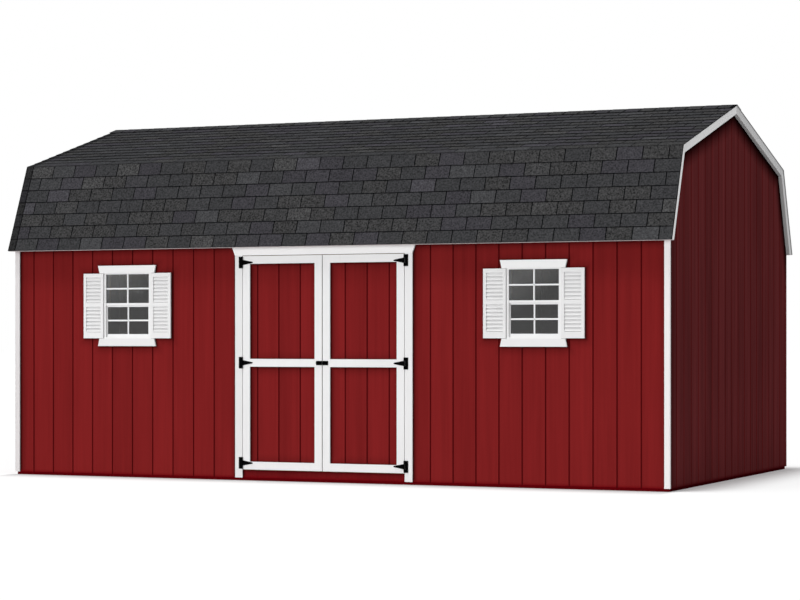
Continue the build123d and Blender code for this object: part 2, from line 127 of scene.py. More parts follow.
class Value:
    """A number socket whose Python expressions add Math nodes."""

    def __init__(self, wiring: "Wiring", socket: bpy.types.NodeSocket) -> None:
        """Wrap a socket of a tree."""
        self.wiring = wiring
        self.socket = socket

    def math(self, operation: str, *operands: "Number") -> "Value":
        """Add one Math node for the operation on the operands."""
        return self.wiring.value("ShaderNodeMath", {"operation": operation}, dict(enumerate(operands)))

    def __add__(self, other: "Number") -> "Value":
        """The sum."""
        return self.math("ADD", self, other)

    def __radd__(self, other: float) -> "Value":
        """The sum, from the right."""
        return self.math("ADD", other, self)

    def __sub__(self, other: "Number") -> "Value":
        """The difference."""
        return self.math("SUBTRACT", self, other)

    def __rsub__(self, other: float) -> "Value":
        """The difference, from the right."""
        return self.math("SUBTRACT", other, self)

    def __mul__(self, other: "Number") -> "Value":
        """The product."""
        return self.math("MULTIPLY", self, other)

    def __truediv__(self, other: "Number") -> "Value":
        """The quotient."""
        return self.math("DIVIDE", self, other)

    def __lt__(self, other: "Number") -> "Value":
        """1 where this is less than the other."""
        return self.math("LESS_THAN", self, other)

    def __gt__(self, other: "Number") -> "Value":
        """1 where this is more than the other."""
        return self.math("GREATER_THAN", self, other)

    def same(self, whole: "Number") -> "Value":
        """1 where this whole number, give or take a half, is the other."""
        return self.math("COMPARE", self, whole, 0.5)

    def floor(self) -> "Value":
        """The whole number below."""
        return self.math("FLOOR", self)

    def fraction(self) -> "Value":
        """What is over the whole number below."""
        return self.math("FRACT", self)

    def size(self) -> "Value":
        """The value without its sign."""
        return self.math("ABSOLUTE", self)

    def least(self, other: "Number") -> "Value":
        """The smaller of the two."""
        return self.math("MINIMUM", self, other)

    def most(self, other: "Number") -> "Value":
        """The larger of the two."""
        return self.math("MAXIMUM", self, other)

    def off_middle(self) -> "Value":
        """How far the fraction is from one half."""
        return (self.fraction() - 0.5).size()

    def swing(self, spread: "Number") -> "Value":
        """A noise's distance from its middle, times a spread."""
        return (self - 0.5) * spread

    def line(self, start: float, slope: float) -> "Value":
        """A straight rise from a start."""
        return start + self * slope

    def blend(self, other: "Value", share: float) -> "Value":
        """A share of this and the rest of the other."""
        return self * share + other * (1 - share)

    def rise(self, low: "Number", high: "Number") -> "Value":
        """A smooth step from 0 at low to 1 at high."""
        sockets = {"Value": self, "From Min": low, "From Max": high}
        return self.wiring.value("ShaderNodeMapRange", {"interpolation_type": "SMOOTHSTEP"}, sockets)

    def band(self, low: float, high: float, share: float) -> "Value":
        """A smooth step from 0 at low to a share at high."""
        return self.rise(low, high) * share

    def fade(self, low: float, high: float, share: float) -> "Value":
        """A smooth step from a share at low to 0 at high."""
        return (1 - self.rise(low, high)) * share


Number = Value | float
Spot = tuple[Value, Value, Value]
Place = Value | Point


class Wiring:
    """Adds and links the nodes of one shader or geometry tree."""

    def __init__(self, tree: bpy.types.NodeTree) -> None:
        """Work on the given tree."""
        self.tree = tree

    @staticmethod
    def pick(sockets: bpy.types.bpy_prop_collection, key: Key) -> bpy.types.NodeSocket:
        """Find a socket.

        Args:
            sockets: A node's inputs or outputs.
            key: A position, or the name of an active socket.

        Returns:
            The socket.
        """
        if isinstance(key, int):
            return sockets[key]
        return next(socket for socket in sockets if socket.name == key and socket.enabled)

    def feed(self, socket: bpy.types.NodeSocket, given: object) -> None:
        """Give a socket a value or links.

        Args:
            socket: The input to fill.
            given: A wrapped or plain output to link, a list of them, or a constant.
        """
        for one in given if isinstance(given, list) else [given]:
            source = one.socket if isinstance(one, Value) else one
            if isinstance(source, bpy.types.NodeSocket):
                self.tree.links.new(source, socket)
            elif socket.type == "RGBA":
                socket.default_value = (*source[:3], 1.0)
            else:
                socket.default_value = source

    def add(self, kind: str, settings: Settings = None, sockets: Sockets = None) -> bpy.types.Node:
        """Add a node.

        Args:
            kind: The node's type.
            settings: The node's own properties, set first.
            sockets: Values or links of its inputs, by name or position.

        Returns:
            The new node.
        """
        node = self.tree.nodes.new(kind)
        for name, setting in (settings or {}).items():
            setattr(node, name, setting)
        for key, given in (sockets or {}).items():
            self.feed(self.pick(node.inputs, key), given)
        return node

    def value(self, kind: str, settings: Settings = None, sockets: Sockets = None, output: Key = 0) -> Value:
        """Add a node and wrap one of its outputs.

        Args:
            kind: The node's type.
            settings: The node's own properties, set first.
            sockets: Values or links of its inputs, by name or position.
            output: The name or position of the output.

        Returns:
            The wrapped output.
        """
        node = self.add(kind, settings, sockets)
        return Value(self, self.pick(node.outputs, output))

    def vector(self, x: Number, y: Number, z: Number) -> Value:
        """Three numbers as one vector."""
        return self.value("ShaderNodeCombineXYZ", None, {0: x, 1: y, 2: z})

    def parts(self, vector: Value) -> Spot:
        """The three numbers of a vector."""
        node = self.add("ShaderNodeSeparateXYZ", None, {0: vector})
        return tuple(Value(self, socket) for socket in node.outputs)

    def mix(self, share: Value, first: Value | Colour, second: Value | Colour) -> Value:
        """A colour between two others."""
        return self.value("ShaderNodeMix", {"data_type": "RGBA"}, {0: share, 6: first, 7: second}, 2)

    def place(self) -> Spot:
        """The Object coordinates of the shaded point."""
        return self.parts(self.value("ShaderNodeTexCoord", output="Object"))


@dataclass(frozen=True)
class RoofLine:
    """The weather line of the gambrel roof, front half, in the plane across the barn."""

    half_length: float = 3.099
    eave: Span = (-1.920, 2.009)
    knee: Span = (-1.601, 2.786)
    ridge: Span = (0.0, 3.246)
    skin: float = 0.006
    rake: float = 0.070

    def ends(self, slope: Slope) -> tuple[Span, Span]:
        """The foot and the head of a slope."""
        return (self.knee, self.ridge) if slope is Slope.UPPER else (self.eave, self.knee)

    def angle(self, slope: Slope) -> float:
        """The pitch of a slope."""
        foot, head = self.ends(slope)
        return math.atan2(head[1] - foot[1], head[0] - foot[0])

    def rake_gap(self, y: Value, z: Value) -> Value:
        """How far a point of a gable wall is under the rake boards, except those of the near lower slope.

        Args:
            y: The place across the barn.
            z: The height.

        Returns:
            The distance.
        """
        steep, flat = self.angle(Slope.LOWER), self.angle(Slope.UPPER)
        upper = (self.ridge[1] - z) * math.cos(flat) - y.size() * math.sin(flat)
        lower = (-self.eave[0] - y) * math.sin(steep) - (z - self.eave[1]) * math.cos(steep)
        return upper.least(lower) - (self.skin + self.rake)


ROOF = RoofLine()


@dataclass(frozen=True)
class Board:
    """The outline of something that stands off the front wall, or of a sunk field, right of the middle."""

    x: float
    z: float
    half_width: float
    half_height: float
    sunk: bool = False

    def gap(self, x: Value, z: Value) -> Value:
        """How far a point of the wall is from the board's edge.

        Args:
            x: The place along the barn.
            z: The height.

        Returns:
            The distance, less than 0 under a board and outside a sunk field.
        """
        side = (x.size() - self.x).size() - self.half_width
        level = (z - self.z).size() - self.half_height
        return 0 - side.most(level) if self.sunk else side.most(level)


# Outlines of trim, doorway, windows and door fields that cast painted shade on the siding.
CORNERS = (Board(3.037, 1.0, 0.023, 1.2),)
DOORWAY = (Board(0.0, 1.05, 0.831, 0.955), Board(0.7965, 0.5, 0.0345, 0.6))
WINDOWS = (Board(WINDOW_X, 1.510, 0.439, 0.286), Board(WINDOW_X, 1.510, 0.283, 0.355))
FIELDS = tuple(Board(0.3805, middle, 0.3085, 0.4085, True) for middle in (0.5715, 1.4555))
FRONT = CORNERS + DOORWAY + WINDOWS


@dataclass(frozen=True)
class Noise:
    """Soft noise: its cells a metre in three directions, its octaves and its distortion."""

    cells: Point
    octaves: float = 3.0
    distortion: float = 0.0


class Shade(Wiring):
    """The nodes of one material around its Principled shader."""

    def __init__(self, name: str, **constants: float) -> None:
        """Start a material.

        Args:
            name: The material's name.
            constants: Values that are the same all over, by the shader's socket name with underscores.
        """
        self.material = bpy.data.materials.new(name)
        self.material.use_nodes = True
        super().__init__(self.material.node_tree)
        self.shader = self.tree.nodes["Principled BSDF"]
        for socket, constant in constants.items():
            self.feed(self.shader.inputs[socket.replace("_", " ")], constant)

    def grained(self, grain: Grain) -> Spot:
        """Coordinates across, through and along the fibres.

        Args:
            grain: The way that the fibres run.

        Returns:
            Two directions across the fibres and the one along them.
        """
        x, y, z = self.place()
        if grain is Grain.LENGTH:
            return y, z, x
        if grain is Grain.DEPTH:
            return x, z, y
        if grain is Grain.UPRIGHT:
            return x, y, z
        angle = ROOF.angle(Slope.LOWER if grain is Grain.LOWER_SLOPE else Slope.UPPER)
        near = 0 - y.size()
        along = near * math.cos(angle) + z * math.sin(angle)
        return x, z * math.cos(angle) - near * math.sin(angle), along

    def stretched(self, spot: Spot, cells: Point) -> Value:
        """A spot, in cells instead of metres."""
        return self.vector(*(place * count for place, count in zip(spot, cells)))

    def noise(self, spot: Spot, noise: Noise) -> Value:
        """Soft noise at a spot.

        Args:
            spot: The coordinates.
            noise: The noise's cells, octaves and distortion.

        Returns:
            The noise, about 0.5 on average.
        """
        sockets = {"Scale": 1.0, "Detail": noise.octaves, "Distortion": noise.distortion}
        sockets["Vector"] = self.stretched(spot, noise.cells)
        return self.value("ShaderNodeTexNoise", None, sockets)

    def draw(self, number: Value) -> Value:
        """A fixed random number from 0 to 1 for each whole number."""
        return self.value("ShaderNodeTexWhiteNoise", {"noise_dimensions": "1D"}, {"W": number})

    def attribute(self, name: str) -> Value:
        """A named number that the mesh carries."""
        return self.value("ShaderNodeAttribute", {"attribute_name": name}, output="Fac")

    def scaled(self, colour: Value | Colour, factor: Value) -> Value:
        """A colour made lighter or darker."""
        return self.value("ShaderNodeVectorMath", {"operation": "SCALE"}, {0: colour, "Scale": factor})

    def relief(self, height: Value, strength: float, depth: float) -> Value:
        """A surface normal bumped by a height."""
        sockets = {"Strength": strength, "Distance": depth, "Height": height}
        return self.value("ShaderNodeBump", None, sockets)

    def coat(self, colour: Value, roughness: Value, normal: Value | None = None) -> bpy.types.Material:
        """Feed the shader and hand over the material.

        Args:
            colour: The base colour.
            roughness: The roughness.
            normal: The bumped normal, where the surface has one.

        Returns:
            The finished material.
        """
        self.feed(self.shader.inputs["Base Color"], colour)
        self.feed(self.shader.inputs["Roughness"], roughness)
        if normal is not None:
            self.feed(self.shader.inputs["Normal"], normal)
        return self.material


class Pattern(Wiring):
    """A Geometry Nodes tree with named inputs that is run once on a mesh."""

    def __init__(self, name: str, inputs: dict[str, Kind]) -> None:
        """Start a tree.

        Args:
            name: The tree's name.
            inputs: The named sizes that the tree takes.
        """
        super().__init__(bpy.data.node_groups.new(name, "GeometryNodeTree"))
        rows = self.tree.interface
        rows.new_socket("Geometry", in_out="INPUT", socket_type="NodeSocketGeometry")
        rows.new_socket("Geometry", in_out="OUTPUT", socket_type="NodeSocketGeometry")
        self.keys: dict[str, str] = {}
        for label, kind in inputs.items():
            self.keys[label] = rows.new_socket(label, in_out="INPUT", socket_type=kind.value).identifier
        self.inputs = self.add("NodeGroupInput")

    def given(self, *labels: str) -> Value | list[Value]:
        """One of the tree's named inputs, or several of them."""
        values = [Value(self, self.inputs.outputs[label]) for label in labels]
        return values if len(values) > 1 else values[0]

    def index(self) -> Value:
        """The number of each point."""
        return self.value("GeometryNodeInputIndex")

    def position(self) -> Spot:
        """The place of each point."""
        return self.parts(self.value("GeometryNodeInputPosition"))

    def normal(self) -> Value:
        """The direction that each face has."""
        return self.value("GeometryNodeInputNormal")

    def block(self, width: Number, depth: Number, height: Number) -> Value:
        """A box round the origin."""
        return self.value("GeometryNodeMeshCube", None, {"Size": self.vector(width, depth, height)})

    def moved(self, geometry: Value, place: Value) -> Value:
        """The geometry with its points put at new places."""
        return self.value("GeometryNodeSetPosition", None, {"Geometry": geometry, "Position": place})

    def shifted(self, geometry: Value, shift: Place = ORIGIN, turn: Place = ORIGIN) -> Value:
        """The geometry turned and then moved."""
        sockets = {"Geometry": geometry, "Translation": shift, "Rotation": turn}
        return self.value("GeometryNodeTransform", None, sockets)

    def marked(self, geometry: Value, label: str, mark: Number, domain: str = "POINT") -> Value:
        """Store a named number on a geometry.

        Args:
            geometry: The geometry.
            label: The number's name.
            mark: The number.
            domain: POINT, or FACE for one number a face.

        Returns:
            The geometry with the number on it.
        """
        settings = {"data_type": "FLOAT", "domain": domain}
        sockets = {"Geometry": geometry, "Name": label, "Value": mark}
        return self.value("GeometryNodeStoreNamedAttribute", settings, sockets)

    def chance(self, number: Value, seed: Number) -> Value:
        """A fixed random number from 0 to 1 for each point."""
        sockets = {"Min": 0.0, "Max": 1.0, "ID": number, "Seed": seed}
        return self.value("FunctionNodeRandomValue", {"data_type": "FLOAT"}, sockets, "Value")

    def row(self, count: Number, start: Place = ORIGIN, step: Place = ORIGIN) -> Value:
        """Points in a straight row."""
        sockets = {"Count": count, "Start Location": start, "Offset": step}
        return self.value("GeometryNodeMeshLine", None, sockets)

    def copies(self, points: Value, shape: Value, **placing: object) -> Value:
        """Copies of a shape on points, with Scale, Rotation or Selection as placing."""
        sockets = {"Points": points, "Instance": shape, **placing}
        return self.value("GeometryNodeInstanceOnPoints", None, sockets)

    def joined(self, *shapes: Value) -> Value:
        """Several geometries as one."""
        return self.value("GeometryNodeJoinGeometry", None, {0: list(shapes)})

    def real(self, geometry: Value) -> Value:
        """The geometry with its copies made into meshes."""
        return self.value("GeometryNodeRealizeInstances", None, {"Geometry": geometry})

    def less(self, geometry: Value, cutters: Value | list[Value]) -> Value:
        """The geometry with others cut out of it."""
        settings = {"operation": "DIFFERENCE", "solver": "EXACT"}
        return self.value("GeometryNodeMeshBoolean", settings, {"Mesh 1": geometry, "Mesh 2": cutters})

    def end(
        self,
        geometry: Value,
        material: bpy.types.Material,
        back: bpy.types.Material | None = None,
        away: Value | None = None,
    ) -> None:
        """Close the tree.

        Args:
            geometry: What it has made.
            material: The material of all faces.
            back: A second material for some faces.
            away: Which faces have the second material.
        """
        sockets = {"Geometry": self.real(geometry), "Material": material}
        done = self.value("GeometryNodeSetMaterial", None, sockets)
        if back is not None:
            sockets = {"Geometry": done, "Selection": away, "Material": back}
            done = self.value("GeometryNodeSetMaterial", None, sockets)
        self.add("NodeGroupOutput", None, {0: done})

    def run(self, name: str, mesh: bpy.types.Mesh, sizes: dict[str, object]) -> bpy.types.Object:
        """Make a plain mesh object from the tree.

        Args:
            name: The object's name.
            mesh: The mesh that goes in.
            sizes: A value for each named input.

        Returns:
            An object at the origin, with no modifier left on it.
        """
        piece = object_of(name, mesh)
        modifier = piece.modifiers.new(self.tree.name, "NODES")
        modifier.node_group = self.tree
        for label, size in sizes.items():
            modifier[self.keys[label]] = size
        graph = bpy.context.evaluated_depsgraph_get()
        made = bpy.data.meshes.new_from_object(piece.evaluated_get(graph))
        piece.modifiers.remove(modifier)
        piece.data = made
        made.name = name
        made.shade_flat()
        self.keep_used(made)
        return piece

    @staticmethod
    def keep_used(mesh: bpy.types.Mesh) -> None:
        """Leave only the materials that faces have.

        Args:
            mesh: The mesh, whose faces keep their looks.
        """
        before = list(mesh.materials)
        looks = [before[face.material_index] for face in mesh.polygons]
        used = list(dict.fromkeys(looks))
        mesh.materials.clear()
        for material in used:
            mesh.materials.append(material)
        mesh.polygons.foreach_set("material_index", [used.index(look) for look in looks])


class Finish(Protocol):
    """What every finish below can do. Spans named dull are a least roughness and its spread over a noise.

    Spans named relief are a bump's strength and its depth, and bands are two ends of a step and its share.
    """

    def build(self) -> bpy.types.Material:
        """The material."""


@dataclass(frozen=True)
class SidingPaint:
    """Red paint on pressed board sheets, each board a little different, with dirt and painted shade in the
    grooves, painted shade beside trim, under the eave and under the rakes, and painted light near the
    ground.
    """

    name: str
    lengthwise: bool
    first: float
    pitch: float
    mouth: float
    colour: Colour
    boards: tuple[Board, ...] = ()
    # Groove colour: dirt and painted shade in the recess of each groove.
    groove: Colour = (0.110, 0.0052, 0.0062)
    groove_reach: float = 1.3
    groove_shares: Span = (0.40, 0.60)
    # A darker colour along the foot of each sheet, up to the foot edge.
    damp: Colour = (0.150, 0.0024, 0.0052)
    damp_edge: Span = (0.016, 0.056)
    streak: Noise = Noise((15.0, 15.0, 0.5))
    fibre: Noise = Noise((46.0, 46.0, 1.4))
    thread: Noise = Noise((240.0, 240.0, 7.0))
    patch: Noise = Noise((1.6, 1.6, 1.1))
    board_spread: float = 0.12
    streak_spread: float = 0.30
    fibre_spread: float = 0.30
    patch_spread: float = 0.14
    fibre_share: float = 0.5
    # Painted shade beside the boards: shifted right and down by lean, softened over soft, with a weak wide
    # band; then painted shade under the eave.
    lean: Span = (0.0125, -0.0045)
    soft: Span = (-0.028, 0.029)
    wide: Band = (-0.010, 0.090, 0.24)
    eave: float = 2.004
    eave_far: Band = (0.20, 0.40, 0.10)
    eave_near: Band = (-0.02, 0.08, 0.36)
    # Painted shade under the rakes and near the front corner of the gables, and painted light near the
    # ground.
    rake_soft: Span = (-0.010, 0.185)
    corner_y: float = -1.825
    corner: Band = (-0.05, 0.20, 0.55)
    ground_glow: Band = (0.0, 1.3, 0.20)
    dull: Span = (0.52, 0.16)
    relief: Span = (0.30, 0.0012)

    def under_rakes(self, y: Value, z: Value) -> Value:
        """The painted shade and painted light on a point of a gable wall, as a factor on its colour.

        Args:
            y: The place across the barn.
            z: The height.

        Returns:
            Less as painted shade under the rake boards and near the front corner, and more as painted light
            near the ground.
        """
        # Painted light near the ground, and painted shade near the front corner and under the rakes.
        glow = 1 + z.fade(*self.ground_glow)
        corner = (y - self.corner_y).fade(*self.corner)
        return ROOF.rake_gap(y, z).rise(*self.rake_soft) * (1 - corner) * glow

    def beside_boards(self, x: Value, z: Value) -> Value:
        """The painted shade on a point of a long wall or a door, as a factor on its colour.

        Args:
            x: The place along the barn.
            z: The height.

        Returns:
            Less as painted shade beside the boards and under the eave.
        """
        under = self.eave - z
        share = 1 - under.fade(*self.eave_far) - under.fade(*self.eave_near)
        gaps = [board.gap(x - self.lean[0], z - self.lean[1]) for board in self.boards]
        nearest = gaps[0]
        for board, gap in zip(self.boards[1:], gaps[1:]):
            nearest = nearest.most(gap) if board.sunk else nearest.least(gap)
        return share * nearest.rise(*self.soft) * (1 - nearest.fade(*self.wide))

    def build(self) -> bpy.types.Material:
        """The material."""
        shade = Shade(self.name, Specular_IOR_Level=0.0)
        spot = x, y, z = shade.place()
        step = ((x if self.lengthwise else y) - self.first) / self.pitch
        lip = self.mouth * self.groove_reach
        offset = (step + 0.5).off_middle() * self.pitch
        groove = 1 - offset.rise(*(share * lip for share in self.groove_shares))
        fibre = shade.noise(spot, self.fibre)
        tone = 1 + shade.draw(step.floor()).swing(self.board_spread) + fibre.swing(self.fibre_spread)
        tone = tone + shade.noise(spot, self.patch).swing(self.patch_spread)
        tone = tone + shade.noise(spot, self.streak).swing(self.streak_spread)
        # Each board's tone takes the painted shade and painted light of its wall.
        tone = tone * (self.beside_boards(x, z) if self.lengthwise else self.under_rakes(y, z))
        # Darker towards the bottom of the sheet.
        painted = shade.mix(z.rise(*self.damp_edge), self.damp, shade.scaled(self.colour, tone))
        # The grooves take the darker colour, for dirt and painted shade.
        colour = shade.mix(groove, painted, shade.scaled(self.groove, tone))
        height = fibre.blend(shade.noise(spot, self.thread), self.fibre_share)
        return shade.coat(colour, fibre.line(*self.dull), shade.relief(height, *self.relief))


@dataclass(frozen=True)
class BoardBack:
    """The bare brown back of the siding sheets, pressed from strands."""

    name: str = "siding_back"
    colour: Colour = (0.36, 0.22, 0.11)
    dark: Colour = (0.20, 0.11, 0.05)
    strand: Noise = Noise((34.0, 34.0, 11.0), distortion=1.6)
    fleck: Noise = Noise((90.0, 90.0, 60.0), 2.0)
    strand_edge: Span = (0.30, 0.72)
    strand_share: float = 0.8
    dull: Span = (0.70, 0.2)
    relief: Span = (0.25, 0.001)

    def build(self) -> bpy.types.Material:
        """The material."""
        shade = Shade(self.name, Specular_IOR_Level=0.2)
        spot = shade.place()
        strand, fleck = shade.noise(spot, self.strand), shade.noise(spot, self.fleck)
        pale = strand.rise(*self.strand_edge).blend(fleck, self.strand_share)
        colour = shade.mix(pale, self.dark, self.colour)
        return shade.coat(colour, fleck.line(*self.dull), shade.relief(strand, *self.relief))


@dataclass(frozen=True)
class TrimPaint:
    """White paint on sawn boards, with the fibres just showing, even unless set to take painted shade on the
    back half, painted shade to the left and light to the right, and painted light towards the top.
    """

    name: str
    grain: Grain
    colour: Colour = grey(0.79)
    shadow: Colour = grey(0.66)
    # Painted shade on the back half; painted shade to the left and light to the right; painted light above
    # middle and shade below it.
    back_share: float = 1.0
    drift: float = 0.0
    climb: float = 0.0
    middle: float = 1.51
    fibre: Noise = Noise((70.0, 70.0, 2.2))
    thread: Noise = Noise((300.0, 300.0, 9.0))
    patch: Noise = Noise((3.0, 3.0, 2.0))
    fibre_soil: Band = (0.55, 0.85, 0.30)
    patch_soil: Band = (0.50, 0.85, 0.25)
    fibre_share: float = 0.6
    dull: Span = (0.42, 0.18)
    relief: Span = (0.22, 0.0008)

    def build(self) -> bpy.types.Material:
        """The material."""
        shade = Shade(self.name, Specular_IOR_Level=0.35)
        x, y, z = shade.place()
        spot = shade.grained(self.grain)
        fibre, patch = shade.noise(spot, self.fibre), shade.noise(spot, self.patch)
        soil = fibre.band(*self.fibre_soil) + patch.band(*self.patch_soil)
        # Painted light and shade by side, place along the barn and height.
        tone = (y > 0.0).line(1, self.back_share - 1) * x.line(1, self.drift)
        tone = tone * (z - self.middle).line(1, self.climb)
        colour = shade.scaled(shade.mix(soil, self.colour, self.shadow), tone)
        height = fibre.blend(shade.noise(spot, self.thread), self.fibre_share)
        return shade.coat(colour, patch.line(*self.dull), shade.relief(height, *self.relief))


@dataclass(frozen=True)
class MouldedWhite:
    """White moulded plastic of the window frames and the shutters."""

    name: str
    colour: Colour
    shadow: Colour
    peel: Noise = Noise((160.0, 160.0, 64.0), 2.0)
    haze: Noise = Noise((4.0, 4.0, 3.0))
    soil: Band = (0.50, 0.85, 0.45)
    dull: Span = (0.34, 0.18)
    relief: Span = (0.12, 0.0006)

    def build(self) -> bpy.types.Material:
        """The material."""
        shade = Shade(self.name, Specular_IOR_Level=0.4)
        spot = shade.place()
        haze = shade.noise(spot, self.haze)
        colour = shade.mix(haze.band(*self.soil), self.colour, self.shadow)
        normal = shade.relief(shade.noise(spot, self.peel), *self.relief)
        return shade.coat(colour, haze.line(*self.dull), normal)


@dataclass(frozen=True)
class BareLumber:
    """Sawn softwood with growth rings and knots, painted where it reaches past a wall line."""

    name: str
    grain: Grain
    painted_past: float = 0.0
    pale: Colour = (0.60, 0.42, 0.24)
    late: Colour = (0.42, 0.25, 0.11)
    knot: Colour = (0.16, 0.07, 0.03)
    paint: Colour = (0.060, 0.0010, 0.0030)
    rings: Span = (34.0, 52.0)
    ring_wander: float = 9.0
    ring_edge: Band = (0.45, 1.0, 0.55)
    wander: Noise = Noise((5.0, 5.0, 0.6), 2.0)
    fibre: Noise = Noise((190.0, 190.0, 5.0))
    fibre_spread: float = 0.5
    knot_cells: Point = (7.0, 7.0, 2.6)
    knot_edge: Band = (0.05, 0.11, 0.85)
    dull: Span = (0.66, 0.2)
    relief: Span = (0.25, 0.0008)

    def build(self) -> bpy.types.Material:
        """The material."""
        shade = Shade(self.name, Specular_IOR_Level=0.0)
        spot = side, depth, _ = shade.grained(self.grain)
        wander, fibre = shade.noise(spot, self.wander), shade.noise(spot, self.fibre)
        turns = side * self.rings[0] + depth * self.rings[1] + wander * self.ring_wander
        late = (turns.off_middle() * 2).band(*self.ring_edge) + fibre.swing(self.fibre_spread)
        sockets = {"Vector": shade.stretched(spot, self.knot_cells), "Scale": 1.0}
        cell = shade.value("ShaderNodeTexVoronoi", {"feature": "F1"}, sockets, "Distance")
        colour = shade.mix(cell.fade(*self.knot_edge), shade.mix(late, self.pale, self.late), self.knot)
        if self.painted_past:
            colour = shade.mix(shade.place()[0].size() > self.painted_past, colour, self.paint)
        return shade.coat(colour, fibre.line(*self.dull), shade.relief(fibre, *self.relief))


@dataclass(frozen=True)
class SheetWood:
    """Rotary-cut sheathing sheets with seams at each sheet's end."""

    name: str = "sheet_wood"
    sheet: float = 1.2192
    seam: float = 0.0035
    pale: Colour = (0.55, 0.39, 0.22)
    late: Colour = (0.38, 0.23, 0.11)
    gap: Colour = (0.07, 0.045, 0.025)
    wave: Noise = Noise((0.9, 9.0, 9.0), 4.0, 1.2)
    wave_bands: float = 6.0
    wave_edge: Band = (0.1, 0.9, 0.55)
    fibre: Noise = Noise((8.0, 150.0, 150.0), 2.0)
    fibre_share: float = 0.35
    dull: Span = (0.64, 0.2)
    relief: Span = (0.2, 0.0006)

    def build(self) -> bpy.types.Material:
        """The material."""
        shade = Shade(self.name, Specular_IOR_Level=0.25)
        spot = x, _, _ = shade.place()
        wave, fibre = shade.noise(spot, self.wave), shade.noise(spot, self.fibre)
        offset = (x / self.sheet).off_middle() * self.sheet
        late = (wave * self.wave_bands).fraction().band(*self.wave_edge) + fibre * self.fibre_share
        seam = 1 - offset.rise(0.5 * self.seam, self.seam)
        colour = shade.mix(seam, shade.mix(late, self.pale, self.late), self.gap)
        return shade.coat(colour, fibre.line(*self.dull), shade.relief(fibre, *self.relief))


@dataclass(frozen=True)
class BasePaint:
    """Dark red stain on the rim that the barn stands on."""

    name: str
    grain: Grain
    colour: Colour = (0.132, 0.0016, 0.0042)
    worn: Colour = (0.104, 0.0012, 0.0034)
    fibre: Noise = Noise((60.0, 60.0, 1.5))
    patch: Noise = Noise((4.0, 4.0, 1.0))
    fibre_wear: Band = (0.35, 0.8, 0.6)
    patch_wear: float = 0.25
    dull: Span = (0.6, 0.2)
    relief: Span = (0.3, 0.001)

    def build(self) -> bpy.types.Material:
        """The material."""
        shade = Shade(self.name, Specular_IOR_Level=0.0)
        spot = shade.grained(self.grain)
        fibre, patch = shade.noise(spot, self.fibre), shade.noise(spot, self.patch)
        wear = fibre.band(*self.fibre_wear) + patch * self.patch_wear
        colour = shade.mix(wear, self.colour, self.worn)
        return shade.coat(colour, patch.line(*self.dull), shade.relief(fibre, *self.relief))


@dataclass(frozen=True)
class Granules:
    """Charcoal mineral granules, each tab in its own tone, dark at bare cut edges, with painted shade under
    the course above and painted light on the upper slope.
    """

    name: str = "shingle_granules"
    common: Colour = (0.0387, 0.0392, 0.0412)
    warm: Colour = (0.0395, 0.0393, 0.0397)
    cool: Colour = (0.0405, 0.0392, 0.0443)
    # Bare dark edges and felt, also used as painted shade under each course above.
    edge: Colour = (0.0024, 0.0024, 0.0027)
    # Light grey on the far shingle ends past the rake line.
    drip: Colour = grey(0.42)
    drip_line: float = 3.0915
    grit: Noise = Noise((420.0, 420.0, 420.0), 1.0)
    cluster: Noise = Noise((70.0, 70.0, 70.0), 2.0)
    grit_spread: float = 0.9
    cluster_spread: float = 2.2
    speckled_tints: Span = (0.28, 0.42)
    cool_tints: Span = (0.78, 0.86)
    tones: Span = (0.91, 0.16)
    pale_tones: Band = (0.84, 0.98, 0.22)
    # Painted light: tabs above the knee are made lighter.
    knee: float = 2.79
    upper_gain: float = 0.19
    # Painted shade on each tab under the butt of the course above, starting sooner on the upper slope.
    under: Band = (0.91, 0.980, 0.88)
    upper_reach: Span = (0.10, 0.04)
    grit_share: float = 0.6
    dull: Span = (0.86, 0.12)
    relief: Span = (0.5, 0.0012)

    def build(self) -> bpy.types.Material:
        """The material."""
        shade = Shade(self.name, Specular_IOR_Level=0.0)
        spot = x, y, z = shade.place()
        grit, cluster = shade.noise(spot, self.grit), shade.noise(spot, self.cluster)
        tone, tint, drop, butt, bend, felt = (
            shade.attribute(name) for name in ("tone", "tint", "drop", "butt", "bend", "felt")
        )
        speckled = 1 - tint.rise(*self.speckled_tints)
        common = shade.mix(speckled, self.common, self.warm)
        stone = shade.mix(tint.rise(*self.cool_tints), common, self.cool)
        speckle = 1 + grit.swing(self.grit_spread) + cluster.swing(self.cluster_spread + speckled)
        upper = z > self.knee
        # Painted light on the upper slope.
        gain = (tone.line(*self.tones) + tone.band(*self.pale_tones)) * upper.line(1, self.upper_gain)
        # Painted shade under the course above, joined with the bare cut edges and the felt.
        start, end, share = self.under
        under = drop.rise(start - upper * self.upper_reach[0], end - upper * self.upper_reach[1]) * share
        cut = (butt.most(under) * (1 - bend)).most(felt)
        colour = shade.mix(cut, shade.scaled(stone, speckle * gain), self.edge)
        # Far shingle ends past the rake line turn light grey.
        colour = shade.mix((x.size() > self.drip_line) * (y > 0.0), colour, self.drip)
        height = grit.blend(cluster, self.grit_share)
        return shade.coat(colour, grit.line(*self.dull), shade.relief(height, *self.relief))


